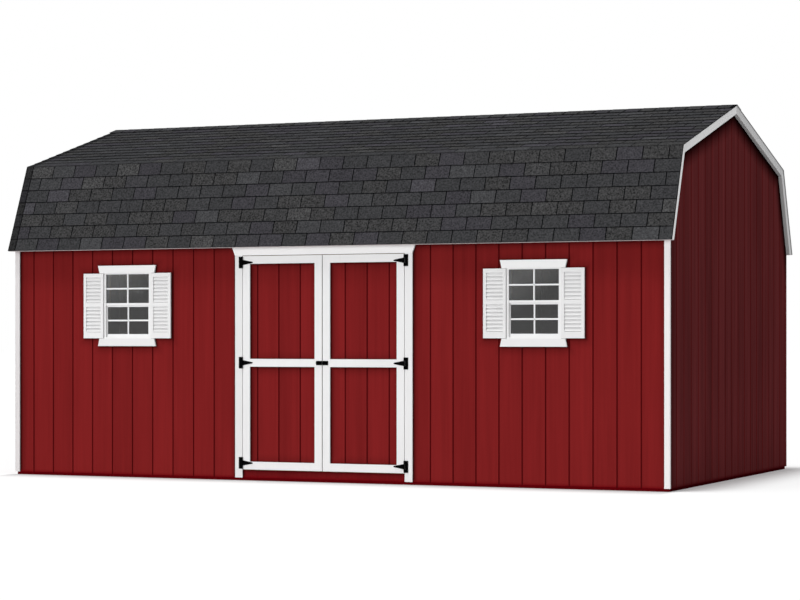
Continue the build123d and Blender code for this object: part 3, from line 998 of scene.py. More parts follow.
@dataclass(frozen=True)
class PaneGlass:
    """Clear window glass with a film of dust, darker from the upper left corner of each window towards its
    lower right as painted shade.
    """

    name: str = "pane_glass"
    colour: Colour = (0.655, 0.665, 0.665)
    dust: Colour = grey(0.50)
    film: Noise = Noise((7.0, 7.0, 5.0), 4.0)
    # Painted shade: the glass darkens away from the upper left corner of each window, down to a least share.
    clear: Span = (-0.11, 1.7245)
    fall: Span = (2.4, 3.6)
    least_share: float = 0.40
    polish: float = 0.015
    smear: Band = (0.35, 0.9, 0.10)

    def build(self) -> bpy.types.Material:
        """The material."""
        shade = Shade(self.name, Transmission_Weight=0.94, IOR=1.50)
        spot = x, _, z = shade.place()
        film = shade.noise(spot, self.film)
        local = x - WINDOW_X + (x < 0.0) * (2 * WINDOW_X)
        # Painted shade across each window, deepest at its lower right.
        shade_depth = (local - self.clear[0]) * self.fall[0] + (self.clear[1] - z) * self.fall[1]
        share = shade_depth.most(0.0).least(1.0).line(1, self.least_share - 1)
        colour = shade.scaled(shade.mix(film, self.colour, self.dust), share)
        return shade.coat(colour, film.band(*self.smear) + self.polish)


@dataclass(frozen=True)
class BlackIron:
    """Black coating on the hinges, the latch and their screws."""

    name: str = "black_coating"
    colour: Colour = (0.0008, 0.0008, 0.0009)
    rubbed: Colour = grey(0.0022)
    peel: Noise = Noise((900.0, 900.0, 900.0), 1.0)
    rub: Noise = Noise((60.0, 60.0, 60.0))
    rub_edge: Band = (0.55, 0.8, 0.5)
    dull: Span = (0.48, 0.2)
    relief: Span = (0.15, 0.0003)

    def build(self) -> bpy.types.Material:
        """The material."""
        shade = Shade(self.name, Specular_IOR_Level=0.01)
        spot = shade.place()
        rub = shade.noise(spot, self.rub)
        colour = shade.mix(rub.band(*self.rub_edge), self.colour, self.rubbed)
        normal = shade.relief(shade.noise(spot, self.peel), *self.relief)
        return shade.coat(colour, rub.line(*self.dull), normal)


def mesh_of(name: str, corners: list[Point], faces: list[list[int]]) -> bpy.types.Mesh:
    """Make a mesh.

    Args:
        name: The mesh's name.
        corners: The places of its corners.
        faces: The corners of each face.

    Returns:
        The mesh.
    """
    mesh = bpy.data.meshes.new(name)
    mesh.from_pydata(corners, [], faces)
    return mesh


def object_of(name: str, mesh: bpy.types.Mesh) -> bpy.types.Object:
    """Put a mesh into the scene.

    Args:
        name: The object's name.
        mesh: The mesh.

    Returns:
        An object at the origin.
    """
    piece = bpy.data.objects.new(name, mesh)
    bpy.context.scene.collection.objects.link(piece)
    return piece


def plain_copy(node: str) -> bpy.types.Mesh:
    """A clean closed copy of a CAD node's mesh.

    Args:
        node: The CAD node's name.

    Returns:
        A mesh whose triangles share their corners, with no other data.
    """
    shell = bmesh.new()
    shell.from_mesh(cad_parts[node].data)
    bmesh.ops.remove_doubles(shell, verts=shell.verts, dist=MERGE_GAP)
    shell.verts.index_update()
    corners = [vertex.co.copy() for vertex in shell.verts]
    faces = [[vertex.index for vertex in face.verts] for face in shell.faces]
    shell.free()
    return mesh_of(node + "_copy", corners, faces)


def named(part: object, *labels: str) -> dict[str, object]:
    """The fields of a part that are inputs of a pattern too."""
    return {label: getattr(part, label) for label in labels}


def settle(piece: bpy.types.Object, body: str, slot: str, *nodes: str) -> None:
    """Hand a finished piece to its body.

    Args:
        piece: The piece.
        body: The CAD body that it moves with.
        slot: The record's material slot of the piece; not used.
        nodes: The CAD nodes that it stands for.
    """
    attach(piece, body)
    if nodes:
        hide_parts(*nodes)
    LOG.info("%s rides on %s with %d faces", piece.name, body, len(piece.data.polygons))


@dataclass
class Palette:
    """Makes each finish's material once."""

    made: dict[Finish, bpy.types.Material] = field(default_factory=dict)

    def material(self, finish: Finish) -> bpy.types.Material:
        """The material of a finish.

        Args:
            finish: The finish.

        Returns:
            Its material, which is built at the first call.
        """
        if finish not in self.made:
            self.made[finish] = finish.build()
        return self.made[finish]

    def dress(self, finish: Finish, *nodes: str) -> None:
        """Give CAD nodes a finish.

        Args:
            finish: The finish.
            nodes: The nodes' names.
        """
        for node in nodes:
            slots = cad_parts[node].data.materials
            slots.clear()
            slots.append(self.material(finish))
            LOG.info("%s has %s", node, slots[0].name)


@dataclass(frozen=True)
class Wall:
    """One flat sheet of siding: its node, its new name, its side, the boards whose painted shade falls on it
    and its body.
    """

    node: str
    name: str
    side: Side
    boards: tuple[Board, ...] = ()
    body: str = "barn"
    plain: bool = False

    @property
    def gable(self) -> bool:
        """Whether the sheet is on a gable wall."""
        return self.side in (Side.LEFT, Side.RIGHT)

    @property
    def door(self) -> bool:
        """Whether the sheet is a door's."""
        return self.body != "barn"

    @property
    def kind(self) -> str:
        """The word that its paint is named for."""
        word = self.body if self.door else self.side.word
        return "sill" if self.plain else word


@dataclass
class Siding:
    """Grooved siding sheets on the walls and the doors."""

    palette: Palette
    pitch: float = 0.2032
    mouth: float = 0.0105
    bed: float = 0.0070
    depth: float = 0.0045
    overrun: float = 0.050
    long_face: float = 1.841
    gable_face: float = 3.060
    long_first: float = -2.8688
    gable_first: float = -1.6668
    door_first: float = -0.6096
    door_lean: float = 0.008
    long_count: int = 30
    gable_count: int = 18
    door_count: int = 7
    long_red: Colour = (0.194, 0.0139, 0.0143)
    # Gable red: the front red made darker and greyer, as painted shade on the gables.
    gable_red: Colour = (0.1110, 0.0200, 0.0213)
    # A darker colour along the foot of the gable sheets.
    gable_damp: Colour = (0.085, 0.0035, 0.0060)
    gable_groove_reach: float = 1.5
    gable_streak_spread: float = 0.85
    gable_board_spread: float = 0.20
    # Sill strip red: the front red darkened, as painted shade under the doors.
    sill_red: Colour = (0.165, 0.0090, 0.0110)
    sill_groove_reach: float = 0.01
    slot: str = "red_siding"
    facing: float = 0.9

    WALLS: ClassVar[tuple[Wall, ...]] = (
        Wall("front_siding_left", "front_boards_left", Side.FRONT, FRONT),
        Wall("front_siding_right", "front_boards_right", Side.FRONT, FRONT),
        Wall("front_siding_over", "front_boards_over", Side.FRONT, FRONT),
        Wall("front_siding_under", "front_boards_under", Side.FRONT, DOORWAY, plain=True),
        Wall("back_siding", "back_boards", Side.BACK, CORNERS),
        Wall("right_gable_siding", "right_gable_boards", Side.RIGHT),
        Wall("left_gable_siding", "left_gable_boards", Side.LEFT),
        Wall("left_door_panel", "left_door_sheet", Side.FRONT, FIELDS, "left_door"),
        Wall("right_door_panel", "right_door_sheet", Side.FRONT, FIELDS, "right_door"),
    )

    def row(self, wall: Wall) -> tuple[float, int]:
        """The grooves of a sheet.

        Args:
            wall: The sheet.

        Returns:
            The place of the first groove along the wall and the number of grooves.
        """
        if wall.door:
            lean = self.door_lean if wall.body == "right_door" else -self.door_lean
            return self.door_first + lean, self.door_count
        if wall.gable:
            return self.gable_first, self.gable_count
        return self.long_first, 0 if wall.plain else self.long_count

    def finish(self, wall: Wall) -> SidingPaint:
        """The paint of a sheet, with its boards counted from its own first groove.

        Args:
            wall: The sheet.

        Returns:
            The finish.
        """
        first, _ = self.row(wall)
        start = first if wall.side in (Side.FRONT, Side.RIGHT) else -first
        name = f"{wall.kind}_red"
        paint = SidingPaint(name, not wall.gable, start, self.pitch, self.mouth, self.long_red, wall.boards)
        if wall.plain:
            return replace(paint, colour=self.sill_red, groove_reach=self.sill_groove_reach)
        if wall.gable:
            return replace(
                paint,
                colour=self.gable_red,
                damp=self.gable_damp,
                groove_reach=self.gable_groove_reach,
                streak_spread=self.gable_streak_spread,
                board_spread=self.gable_board_spread,
            )
        return paint

    def tree(self, paint: bpy.types.Material, back: bpy.types.Material) -> Pattern:
        """The pattern that cuts a row of grooves into a sheet.

        Args:
            paint: The material of the sheet.
            back: The material of its bare inner face.

        Returns:
            The pattern.
        """
        labels = ("first", "pitch", "mouth", "bed", "depth", "face", "low", "high", "turn")
        inputs = dict.fromkeys(labels, Kind.LENGTH) | {"count": Kind.COUNT, "outward": Kind.DIRECTION}
        sheet = Pattern("sheet_grooves", inputs)
        bed, depth, low, high = sheet.given("bed", "depth", "low", "high")
        block = sheet.block(bed, depth * 2, high - low)
        x, y, z = sheet.position()
        flare = (sheet.given("mouth") * 2 - bed) / bed
        cutter = sheet.moved(block, sheet.vector(x * (1 + (y < 0) * (flare - 1)), y, z))
        start = sheet.vector(sheet.given("first"), 0 - sheet.given("face"), (low + high) / 2)
        points = sheet.row(sheet.given("count"), start, sheet.vector(sheet.given("pitch"), 0.0, 0.0))
        row = sheet.real(sheet.copies(points, cutter))
        row = sheet.shifted(row, turn=sheet.vector(0.0, 0.0, sheet.given("turn")))
        sockets = {0: sheet.normal(), 1: sheet.given("outward")}
        facing = sheet.value("ShaderNodeVectorMath", {"operation": "DOT_PRODUCT"}, sockets, "Value")
        sheet.end(sheet.less(sheet.given("Geometry"), row), paint, back, facing < -self.facing)
        return sheet

    def build(self) -> None:
        """Groove every sheet and put it in the place of its node."""
        back = self.palette.material(BoardBack())
        for wall in self.WALLS:
            first, count = self.row(wall)
            low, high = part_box(wall.node)
            sizes = named(self, "pitch", "mouth", "bed", "depth") | named(wall.side, "turn", "outward")
            face = self.gable_face if wall.gable else self.long_face
            sizes |= {"first": first, "count": count, "face": face}
            sizes |= {"low": low.z - self.overrun, "high": high.z + self.overrun}
            paint = self.palette.material(self.finish(wall))
            piece = self.tree(paint, back).run(wall.name, plain_copy(wall.node), sizes)
            settle(piece, wall.body, self.slot, wall.node)


@dataclass
class ShingleRoof:
    """Courses of three-tab shingles on both sides and a row of caps on the ridge."""

    palette: Palette
    roof: RoofLine = ROOF
    lower_courses: int = 7
    upper_courses: int = 13
    tab: float = 0.2226
    slit: float = 0.0085
    rake_strip: float = 0.074
    least_width: float = 0.004
    butt: float = 0.006
    tail: float = 0.0015
    felt: float = 0.0012
    lap_share: float = 1.12
    thin_share: float = 0.80
    cap_reach: float = 0.130
    cap_exposure: float = 0.1409
    cap_lap: float = 0.022
    cap_thickness: float = 0.002
    cap_rise: float = 0.0018
    strip_tone: float = 2.2
    facing: float = 0.7
    seed: int = 7
    slope_seeds: int = 3
    cap_tint_seed: int = 5
    slot: str = "shingle"

    SLOPE_SIZES: ClassVar[dict[str, Kind]] = {
        "exposure": Kind.LENGTH,
        "reach": Kind.LENGTH,
        "stagger": Kind.LENGTH,
        "angle": Kind.LENGTH,
        "courses": Kind.COUNT,
        "seed": Kind.COUNT,
        "foot": Kind.DIRECTION,
    }

    def lay(self, bed: Pattern, slope: Slope) -> Value:
        """Add the nodes that lay courses of tabs on one slope.

        Args:
            bed: The pattern to add to.
            slope: The slope, whose word starts its named inputs.

        Returns:
            The laid tabs with the felt under them.
        """
        own = [f"{slope.value} {label}" for label in self.SLOPE_SIZES]
        exposure, reach, stagger, angle, courses, seed, foot = bed.given(*own)
        length, strip, tab, columns = bed.given("length", "rake_strip", "tab", "columns")
        butt, tail, thin = bed.given("butt", "tail", "felt")

        x, y, z = bed.position()
        up = y + reach / 2
        top = butt + (tail - butt) * up / reach
        wedge = bed.moved(bed.block(1.0, reach, butt), bed.vector(x, up, (z > 0) * top))
        wedge = bed.marked(wedge, "drop", bed.position()[1] / exposure)
        wedge = bed.marked(wedge, "butt", bed.parts(bed.normal())[1] < -self.facing, "FACE")

        index = bed.index()
        course = (index / columns).floor()
        column = index - course * columns
        edge, inner = column.same(0), 1 - column.same(0)
        odd = ((course + stagger) / 2).fraction() * 2
        step = column - odd / 2
        right = edge * strip + inner * (strip + step * tab).least(length)
        left = inner * (strip + (step - 1) * tab).most(strip)
        width = right - left - bed.given("slit")
        place = bed.vector((left + right) / 2, course * exposure, 0.0)
        points = bed.moved(bed.row(courses * columns), place)
        last = course.same(courses - 1)
        marks = {
            "tone": inner * bed.chance(index, seed) - edge * self.strip_tone,
            "tint": bed.chance(index, seed + 1),
            "bend": last if slope is Slope.LOWER else course.same(0),
        }
        for label, mark in marks.items():
            points = bed.marked(points, label, mark)
        high = bed.chance(index, seed + 2).line(self.thin_share, 1 - self.thin_share)
        scale = bed.vector(width, 1 - last * (1 - exposure / reach), high)
        tabs = bed.real(bed.copies(points, wedge, Scale=scale, Selection=width > self.least_width))

        rise = exposure * courses
        felt = bed.shifted(bed.block(length, rise, thin), bed.vector(length / 2, rise / 2, thin / 2))
        felt = bed.marked(felt, "felt", 1.0)
        return bed.shifted(bed.joined(tabs, felt), foot, bed.vector(angle, 0.0, 0.0))

    def tree(self, granules: bpy.types.Material) -> Pattern:
        """The pattern that lays both slopes of one side.

        Args:
            granules: The material.

        Returns:
            The pattern.
        """
        labels = ("length", "tab", "slit", "rake_strip", "butt", "tail", "felt", "turn")
        inputs = dict.fromkeys(labels, Kind.LENGTH) | {"columns": Kind.COUNT}
        for slope in Slope:
            inputs |= {f"{slope.value} {label}": kind for label, kind in self.SLOPE_SIZES.items()}
        bed = Pattern("shingle_courses", inputs)
        laid = bed.joined(*[self.lay(bed, slope) for slope in Slope])
        bed.end(bed.shifted(laid, turn=bed.vector(0.0, 0.0, bed.given("turn"))), granules)
        return bed

    def slope_sizes(self, slope: Slope) -> dict[str, object]:
        """The named inputs of one slope.

        Args:
            slope: The slope.

        Returns:
            A value for each of them.
        """
        upper = slope is Slope.UPPER
        foot, head = self.roof.ends(slope)
        angle = self.roof.angle(slope)
        courses = self.upper_courses if upper else self.lower_courses
        exposure = math.dist(foot, head) / courses
        y = foot[0] + self.roof.skin * math.sin(angle)
        z = foot[1] - self.roof.skin * math.cos(angle)
        sizes = {
            "exposure": exposure,
            "reach": exposure * self.lap_share,
            "stagger": float(upper),
            "angle": angle,
            "courses": courses,
            "seed": self.seed + self.slope_seeds * upper,
            "foot": (-self.roof.half_length, y, z),
        }
        return {f"{slope.value} {label}": size for label, size in sizes.items()}

    def courses(self, side: Side) -> bpy.types.Object:
        """The tabs of one side of the roof.

        Args:
            side: The wall under the slopes, front or back.

        Returns:
            The object.
        """
        name = f"{side.word}_shingle_tabs"
        length = 2 * self.roof.half_length
        sizes = named(self, "tab", "slit", "rake_strip", "butt", "tail", "felt") | named(side, "turn")
        sizes |= {"length": length, "columns": math.ceil(length / self.tab) + 2}
        for slope in Slope:
            sizes |= self.slope_sizes(slope)
        granules = self.palette.material(Granules())
        return self.tree(granules).run(name, mesh_of(name + "_start", [], []), sizes)

    def cap(self) -> bpy.types.Mesh:
        """One folded cap, from its butt at x = 0, lying on both slopes of the ridge.

        Returns:
            The closed mesh.
        """
        ridge_y, _ = self.roof.ridge
        angle = self.roof.angle(Slope.UPPER)
        drop = self.cap_reach * math.tan(angle)
        thick = self.cap_thickness / math.cos(angle)
        length = self.cap_exposure + self.cap_lap
        under = [(-self.cap_reach, -drop), (ridge_y, 0.0), (self.cap_reach, -drop)]
        section = under + [(y, z + thick) for y, z in reversed(under)]
        corners = [(x, y, z) for x in (0.0, length) for y, z in section]
        count = len(section)
        halves = [[0, 1, 4, 5], [1, 2, 3, 4]]
        halves += [[count + corner for corner in reversed(half)] for half in halves]
        around = [[i, count + i, count + (i + 1) % count, (i + 1) % count] for i in range(count)]
        mesh = mesh_of("ridge_cap_start", corners, halves + around)
        shell = bmesh.new()
        shell.from_mesh(mesh)
        bmesh.ops.recalc_face_normals(shell, faces=shell.faces)
        shell.to_mesh(mesh)
        shell.free()
        return mesh

    def caps(self) -> bpy.types.Object:
        """The row of overlapping caps along the ridge.

        Returns:
            The object.
        """
        inputs = dict.fromkeys(("count", "seed"), Kind.COUNT) | {"start": Kind.DIRECTION}
        inputs |= dict.fromkeys(("exposure", "cap_lap", "tilt"), Kind.LENGTH)
        line = Pattern("ridge_cap_row", inputs)
        exposure, lap, count, start, seed = line.given("exposure", "cap_lap", "count", "start", "seed")
        butt = line.parts(line.normal())[0] < -self.facing
        cap = line.marked(line.given("Geometry"), "butt", butt, "FACE")
        cap = line.marked(cap, "drop", line.position()[0] / exposure)
        index = line.index()
        points = line.row(count, start, line.vector(exposure, 0.0, 0.0))
        points = line.marked(points, "tone", line.chance(index, seed))
        points = line.marked(points, "tint", line.chance(index, self.cap_tint_seed))
        scale = line.vector(1 - index.same(count - 1) * (lap / (exposure + lap)), 1.0, 1.0)
        turn = line.vector(0.0, line.given("tilt"), 0.0)
        line.end(line.copies(points, cap, Scale=scale, Rotation=turn), self.palette.material(Granules()))
        length = 2 * self.roof.half_length
        number = round(length / self.cap_exposure)
        sizes = named(self, "seed", "cap_lap") | {"count": number, "exposure": length / number}
        sizes["start"] = (-self.roof.half_length, 0.0, self.roof.ridge[1] + self.cap_rise)
        sizes["tilt"] = math.atan2(self.cap_rise, self.cap_exposure)
        return line.run("ridge_caps", self.cap(), sizes)

    def build(self) -> None:
        """Lay both sides and the ridge."""
        for side in (Side.FRONT, Side.BACK):
            settle(self.courses(side), "barn", self.slot, f"{side.word}_shingles")
        settle(self.caps(), "barn", self.slot, "ridge_cap")


@dataclass(frozen=True)
class Light:
    """The glass of one sash inside its frame, and how far its bars stand off it."""

    half_width: float
    low: float
    high: float
    glass: float
    thickness: float


@dataclass
class WindowBars:
    """The crossed bars in front of the glass of both sashes of both windows."""

    palette: Palette
    window_x: float = WINDOW_X
    bar_width: float = 0.015
    crown_width: float = 0.009
    upper: Light = Light(0.218, 1.534, 1.788, -1.831, 0.008)
    lower: Light = Light(0.206, 1.261, 1.500, -1.823, 0.006)
    # A lighter copy of the window white, as painted light on the bars in their recess.
    white: Finish = MouldedWhite("window_bar_white", grey(0.90), grey(0.82))
    slot: str = "window_white"

    LIGHT_SIZES: ClassVar[tuple[str, ...]] = ("half_width", "low", "high", "glass", "thickness")
    BAR_SIZES: ClassVar[tuple[str, ...]] = ("bar_width", "crown_width", "window_x")

    def tree(self) -> Pattern:
        """The pattern that sets one cross of bars at the middle of each light.

        Returns:
            The pattern.
        """
        cross = Pattern("window_cross", dict.fromkeys(self.LIGHT_SIZES + self.BAR_SIZES, Kind.LENGTH))
        half, low, high, glass, thick = cross.given(*self.LIGHT_SIZES)
        bar, crown, window = cross.given(*self.BAR_SIZES)
        x, y, z = cross.position()
        narrow = 1 - (y < 0) * (1 - crown / bar)
        upright = cross.moved(cross.block(bar, thick, high - low), cross.vector(x * narrow, y, z))
        level = cross.moved(cross.block(half * 2, thick, bar), cross.vector(x, y, z * narrow))
        start = cross.vector(0 - window, glass - thick / 2, (low + high) / 2)
        points = cross.row(2, start, cross.vector(window * 2, 0.0, 0.0))
        cross.end(cross.copies(points, cross.joined(upright, level)), self.palette.material(self.white))
        return cross

    def build(self) -> None:
        """Make the bars of the upper and lower sashes."""
        for word in ("upper", "lower"):
            name = f"{word}_window_bars"
            sizes = named(getattr(self, word), *self.LIGHT_SIZES) | named(self, *self.BAR_SIZES)
            settle(self.tree().run(name, mesh_of(name + "_start", [], []), sizes), "barn", self.slot)


@dataclass
class Screws:
    """Cross-head screws in the hinges and the latch."""

    palette: Palette
    head: float = 0.0034
    crown: float = 0.0024
    height: float = 0.0014
    recess: float = 0.0036
    recess_width: float = 0.0009
    recess_lift_share: float = 1.4
    sides: int = 12
    seed: int = 11
    face: float = -1.855
    pin_x: float = 0.7595
    hinge_zs: tuple[float, ...] = (0.151, 1.0135, 1.876)
    strap_spots: tuple[Span, ...] = ((0.018, -0.011), (0.018, 0.011), (0.047, 0.0), (0.078, 0.0))
    plate_x: float = 0.780
    plate_spots: tuple[Span, ...] = ((-0.006, -0.036), (0.006, 0.0), (-0.006, 0.036))
    latch_z: float = 1.0135
    latch_columns: Span = (0.013, 0.049)
    latch_rise: float = 0.0132
    slot: str = "black_iron"

    SIZES: ClassVar[tuple[str, ...]] = ("head", "crown", "height", "recess", "recess_width")

    def tree(self) -> Pattern:
        """The pattern that drives a screw at each point of a mesh.

        Returns:
            The pattern.
        """
        drive = Pattern("screw_heads", dict.fromkeys(self.SIZES, Kind.LENGTH) | {"sides": Kind.COUNT})
        bottom, top, height, recess, slit = drive.given(*self.SIZES)
        sockets = {"Radius Top": top, "Radius Bottom": bottom, "Depth": height}
        sockets["Vertices"] = drive.given("sides")
        head = drive.value("GeometryNodeMeshCone", None, sockets, "Mesh")
        lift = drive.vector(0.0, 0.0, height * self.recess_lift_share)
        blocks = (drive.block(recess, slit, height), drive.block(slit, recess, height))
        cut = drive.less(head, [drive.shifted(block, lift) for block in blocks])
        turned = drive.shifted(cut, turn=(math.pi / 2, 0.0, 0.0))
        twist = drive.vector(0.0, drive.chance(drive.index(), self.seed) * math.pi, 0.0)
        iron = self.palette.material(BlackIron())
        drive.end(drive.copies(drive.given("Geometry"), turned, Rotation=twist), iron)
        return drive

    def build(self) -> None:
        """Drive the screws of each body."""
        straps = [(dx - self.pin_x, z + dz) for z in self.hinge_zs for dx, dz in self.strap_spots]
        plates = [(dx - self.plate_x, z + dz) for z in self.hinge_zs for dx, dz in self.plate_spots]
        levels = (self.latch_z - self.latch_rise, self.latch_z + self.latch_rise)
        left = straps + [(-dx, z) for dx in self.latch_columns for z in levels]
        rows = {
            "barn": plates + [(-x, z) for x, z in plates],
            "left_door": left,
            "right_door": [(-x, z) for x, z in left],
        }
        for body, spots in rows.items():
            name = f"{body}_screws"
            points = mesh_of(name + "_start", [(x, self.face - self.height / 2, z) for x, z in spots], [])
            settle(self.tree().run(name, points, named(self, *self.SIZES, "sides")), body, self.slot)


@dataclass
class Timberwork:
    """Finishes of the CAD nodes that are shown as they are."""

    palette: Palette
    wall_line: float = 3.0475
    # Share of the rake white kept on the back half, as painted shade.
    far_rake_share: float = 0.70
    shutter_peel: Noise = Noise((110.0, 110.0, 44.0), 2.0)

    def bare(self) -> dict[Finish, tuple[str, ...]]:
        """The bare wood and the base, each finish with its nodes.

        Returns:
            The nodes' names by finish.
        """
        decks = tuple(f"{side}_{slope.value}_deck" for slope in Slope for side in ("front", "back"))
        uprights = ("long_studs", "gable_studs", "left_door_brace", "right_door_brace")
        lower = ("front_lower_rafters", "back_lower_rafters")
        upper = ("front_upper_rafters", "back_upper_rafters")
        return {
            BasePaint("base_red", Grain.LENGTH): ("floor_rims",),
            BareLumber("joist_wood", Grain.DEPTH, self.wall_line): ("floor_joists",),
            SheetWood(): ("floor_deck", "rafter_gussets", *decks),
            BareLumber("long_wood", Grain.LENGTH): ("long_plates", "wall_headers"),
            BareLumber("cross_wood", Grain.DEPTH): ("gable_plates",),
            BareLumber("upright_wood", Grain.UPRIGHT): uprights,
            BareLumber("lower_rafter_wood", Grain.LOWER_SLOPE): lower,
            BareLumber("upper_rafter_wood", Grain.UPPER_SLOPE): upper,
        }

    def trim(self) -> dict[Finish, tuple[str, ...]]:
        """The white boards, each finish with its nodes.

        Returns:
            The nodes' names by finish.
        """
        # Door trims: painted shade to the left and painted light to the right.
        upright = TrimPaint("upright_trim_white", Grain.UPRIGHT, grey(0.76), grey(0.64), drift=0.028)
        # Corner boards: tinted pink, with painted shade to the left and painted light to the right.
        corner = TrimPaint(
            "corner_trim_white", Grain.UPRIGHT, (0.75, 0.72, 0.72), (0.63, 0.60, 0.60), drift=0.034
        )
        # Window casings: painted light towards the head and painted shade towards the sill.
        level = TrimPaint("level_trim_white", Grain.LENGTH, grey(0.81), grey(0.69), climb=0.19)
        # Eave trim: darker and tinted pink, as painted shade under the shingles.
        eave = TrimPaint("eave_white", Grain.LENGTH, (0.60, 0.54, 0.54), (0.50, 0.45, 0.45))
        # Door header: a lighter copy, as painted light against the eave's shade.
        header = TrimPaint("header_white", Grain.LENGTH, grey(0.87), grey(0.75))
        # Rakes: lighter copies as painted light on the shaded gables, darker on the back half as painted
        # shade.
        far = self.far_rake_share
        lower = TrimPaint("lower_rake_white", Grain.LOWER_SLOPE, grey(0.95), grey(0.82), far)
        upper = TrimPaint("upper_rake_white", Grain.UPPER_SLOPE, grey(0.83), grey(0.71), far)
        return {
            upright: ("door_trims",),
            corner: ("corner_trims",),
            TrimPaint("door_trim_white", Grain.UPRIGHT): ("left_door_boards", "right_door_boards"),
            level: ("window_casings",),
            eave: ("eave_trims",),
            header: ("door_header",),
            lower: ("lower_rakes",),
            upper: ("front_upper_rakes", "back_upper_rakes"),
        }

    def fittings(self) -> dict[Finish, tuple[str, ...]]:
        """The windows, the shutters and the ironwork, each finish with its nodes.

        Returns:
            The nodes' names by finish.
        """
        iron = ("hinge_plates", "left_hinge_straps", "right_hinge_straps", "latch_bolt", "latch_keeper")
        return {
            MouldedWhite("window_frame_white", grey(0.80), grey(0.70)): ("window_frames", "window_sashes"),
            MouldedWhite("shutter_white", grey(0.745), grey(0.645), self.shutter_peel): ("shutters",),
            PaneGlass(): ("window_glass",),
            BlackIron(): iron,
        }

    def build(self) -> None:
        """Dress the frame, the trim, the windows and the ironwork."""
        for finish, nodes in (self.bare() | self.trim() | self.fittings()).items():
            self.palette.dress(finish, *nodes)


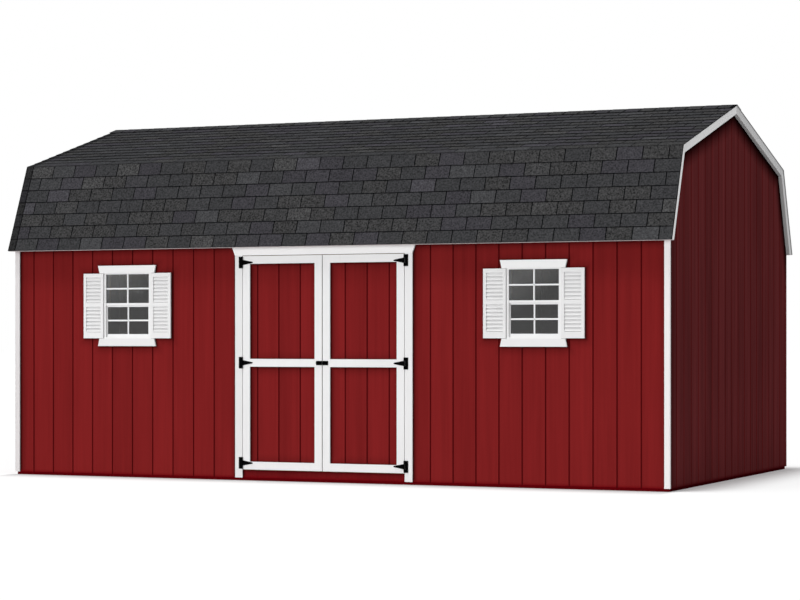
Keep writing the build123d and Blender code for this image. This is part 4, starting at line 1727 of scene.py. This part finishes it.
@dataclass
class Studio:
    """A pale floor, a low soft sun, a lamp overhead, a weak one on the right, an even sky and a camera."""

    floor_reach: float = 150.0
    floor_bounce: Colour = grey(0.60)
    # The seen glow of the floor grows away from the barn, as painted light that fades its shadow outward.
    floor_glow: Span = (0.15, 0.82)
    floor_fade: float = 0.62
    footprint: Span = (3.05, 1.83)
    # Painted contact shadow along the foot of the front.
    contact: Band = (-0.10, 0.50, 0.5)
    contact_end: float = 0.08
    sky: Colour = (0.35, 0.35, 0.355)
    sun_strength: float = 1.86
    sun_size: float = 24.0
    sun_side: float = 42.0
    sun_height: float = 7.0
    top_strength: float = 2.10
    top_size: float = 24.0
    top_beam: Point = (0.20, 0.18, -0.96)
    fill_strength: float = 0.50
    fill_size: float = 40.0
    fill_beam: Point = (-0.93, 0.30, -0.20)
    eye: Point = (8.6540, -20.0710, 1.2257)
    heading: float = 0.4224
    lens: float = 107.002
    sensor: float = 36.0
    shift: Span = (0.03470, 0.04758)
    far_clip: float = 400.0

    @staticmethod
    def look(wiring: Wiring) -> Value:
        """Tell what is looked at from what only scatters light.

        Args:
            wiring: The tree to add to.

        Returns:
            1 for what eyes, mirrors and panes see, and 0 for scattered light.
        """
        path = wiring.add("ShaderNodeLightPath")
        rays = ("Camera", "Glossy", "Transmission")
        eye, mirror, pane = (Value(wiring, path.outputs[f"Is {ray} Ray"]) for ray in rays)
        return eye.most(mirror).most(pane)

    def floor_shader(self, wiring: Wiring) -> Value:
        """White paper that keeps the barn's shadow, with a glow that grows away from the barn as painted
        light and a painted contact shadow along the foot of the front.

        Args:
            wiring: The tree to add to.

        Returns:
            The shader.
        """
        look = self.look(wiring)
        x, y, _ = wiring.place()
        beside, ahead = x.size() - self.footprint[0], 0 - y - self.footprint[1]
        near, far = self.floor_glow
        away = beside.most(y.size() - self.footprint[1])
        glow = look * away.rise(0.0, self.floor_fade).line(near, far - near)
        tint = wiring.mix(look, self.floor_bounce, WHITE)
        paper = wiring.value("ShaderNodeBsdfDiffuse", None, {"Color": tint})
        white = wiring.value("ShaderNodeEmission", None, {"Color": WHITE, "Strength": 1.0})
        lit = wiring.value("ShaderNodeMixShader", None, {0: glow, 1: paper, 2: white})
        # Painted contact shadow: black mixed in along the foot of the front, fading ahead and past the
        # corners.
        shaded = (ahead > 0.0) * beside.fade(0.0, self.contact_end, 1.0) * ahead.fade(*self.contact)
        black = wiring.value("ShaderNodeBsdfDiffuse", None, {"Color": BLACK})
        return wiring.value("ShaderNodeMixShader", None, {0: look * shaded, 1: lit, 2: black})

    def floor(self) -> None:
        """A wide level floor."""
        reach = self.floor_reach
        corners = [(-reach, -reach, 0.0), (reach, -reach, 0.0), (reach, reach, 0.0), (-reach, reach, 0.0)]
        floor = object_of("studio_floor", mesh_of("studio_floor", corners, [[0, 1, 2, 3]]))
        material = bpy.data.materials.new("studio_paper")
        material.use_nodes = True
        wiring = Wiring(material.node_tree)
        wiring.feed(wiring.tree.nodes["Material Output"].inputs["Surface"], self.floor_shader(wiring))
        floor.data.materials.append(material)

    def lamp(self, name: str, strength: float, size: float, beam: Point) -> None:
        """Add one distant lamp.

        Args:
            name: The lamp's name.
            strength: Its strength.
            size: The angle that it fills, in degrees.
            beam: The way that its light goes.
        """
        lamp = bpy.data.lights.new(name, "SUN")
        lamp.energy = strength
        lamp.angle = math.radians(size)
        stand = bpy.data.objects.new(name, lamp)
        stand.rotation_euler = Vector(beam).to_track_quat("-Z", "Y").to_euler()
        bpy.context.scene.collection.objects.link(stand)

    def light(self) -> None:
        """An even sky, a low sun in front on the left, a lamp overhead and a weak one on the right."""
        world = bpy.data.worlds.new("studio_sky")
        world.use_nodes = True
        bpy.context.scene.world = world
        wiring = Wiring(world.node_tree)
        sky = world.node_tree.nodes["Background"]
        wiring.feed(sky.inputs["Color"], wiring.mix(self.look(wiring), self.sky, WHITE))
        side, height = math.radians(self.sun_side), math.radians(self.sun_height)
        low = (math.sin(side) * math.cos(height), math.cos(side) * math.cos(height), -math.sin(height))
        self.lamp("sun", self.sun_strength, self.sun_size, low)
        self.lamp("overhead", self.top_strength, self.top_size, self.top_beam)
        self.lamp("fill", self.fill_strength, self.fill_size, self.fill_beam)

    def camera(self) -> None:
        """The camera at the photograph's viewing angle."""
        eye = bpy.data.cameras.new("camera")
        eye.lens = self.lens
        eye.sensor_width = self.sensor
        eye.shift_x, eye.shift_y = self.shift
        eye.clip_end = self.far_clip
        stand = bpy.data.objects.new("camera", eye)
        stand.location = self.eye
        stand.rotation_euler = (math.pi / 2, 0.0, self.heading)
        bpy.context.scene.collection.objects.link(stand)
        bpy.context.scene.camera = stand

    def build(self) -> None:
        """Set up the studio."""
        self.floor()
        self.light()
        self.camera()
        bpy.context.scene.view_settings.view_transform = "Standard"


def main() -> None:
    """Build the studio and every sub-assembly in order."""
    logging.basicConfig(level=logging.INFO, format="%(name)s: %(message)s")
    palette = Palette()
    for part in (
        Studio(),
        Timberwork(palette),
        Siding(palette),
        ShingleRoof(palette),
        WindowBars(palette),
        Screws(palette),
    ):
        part.build()
        LOG.info("%s built", type(part).__name__)


if __name__ == "__main__":
    main()
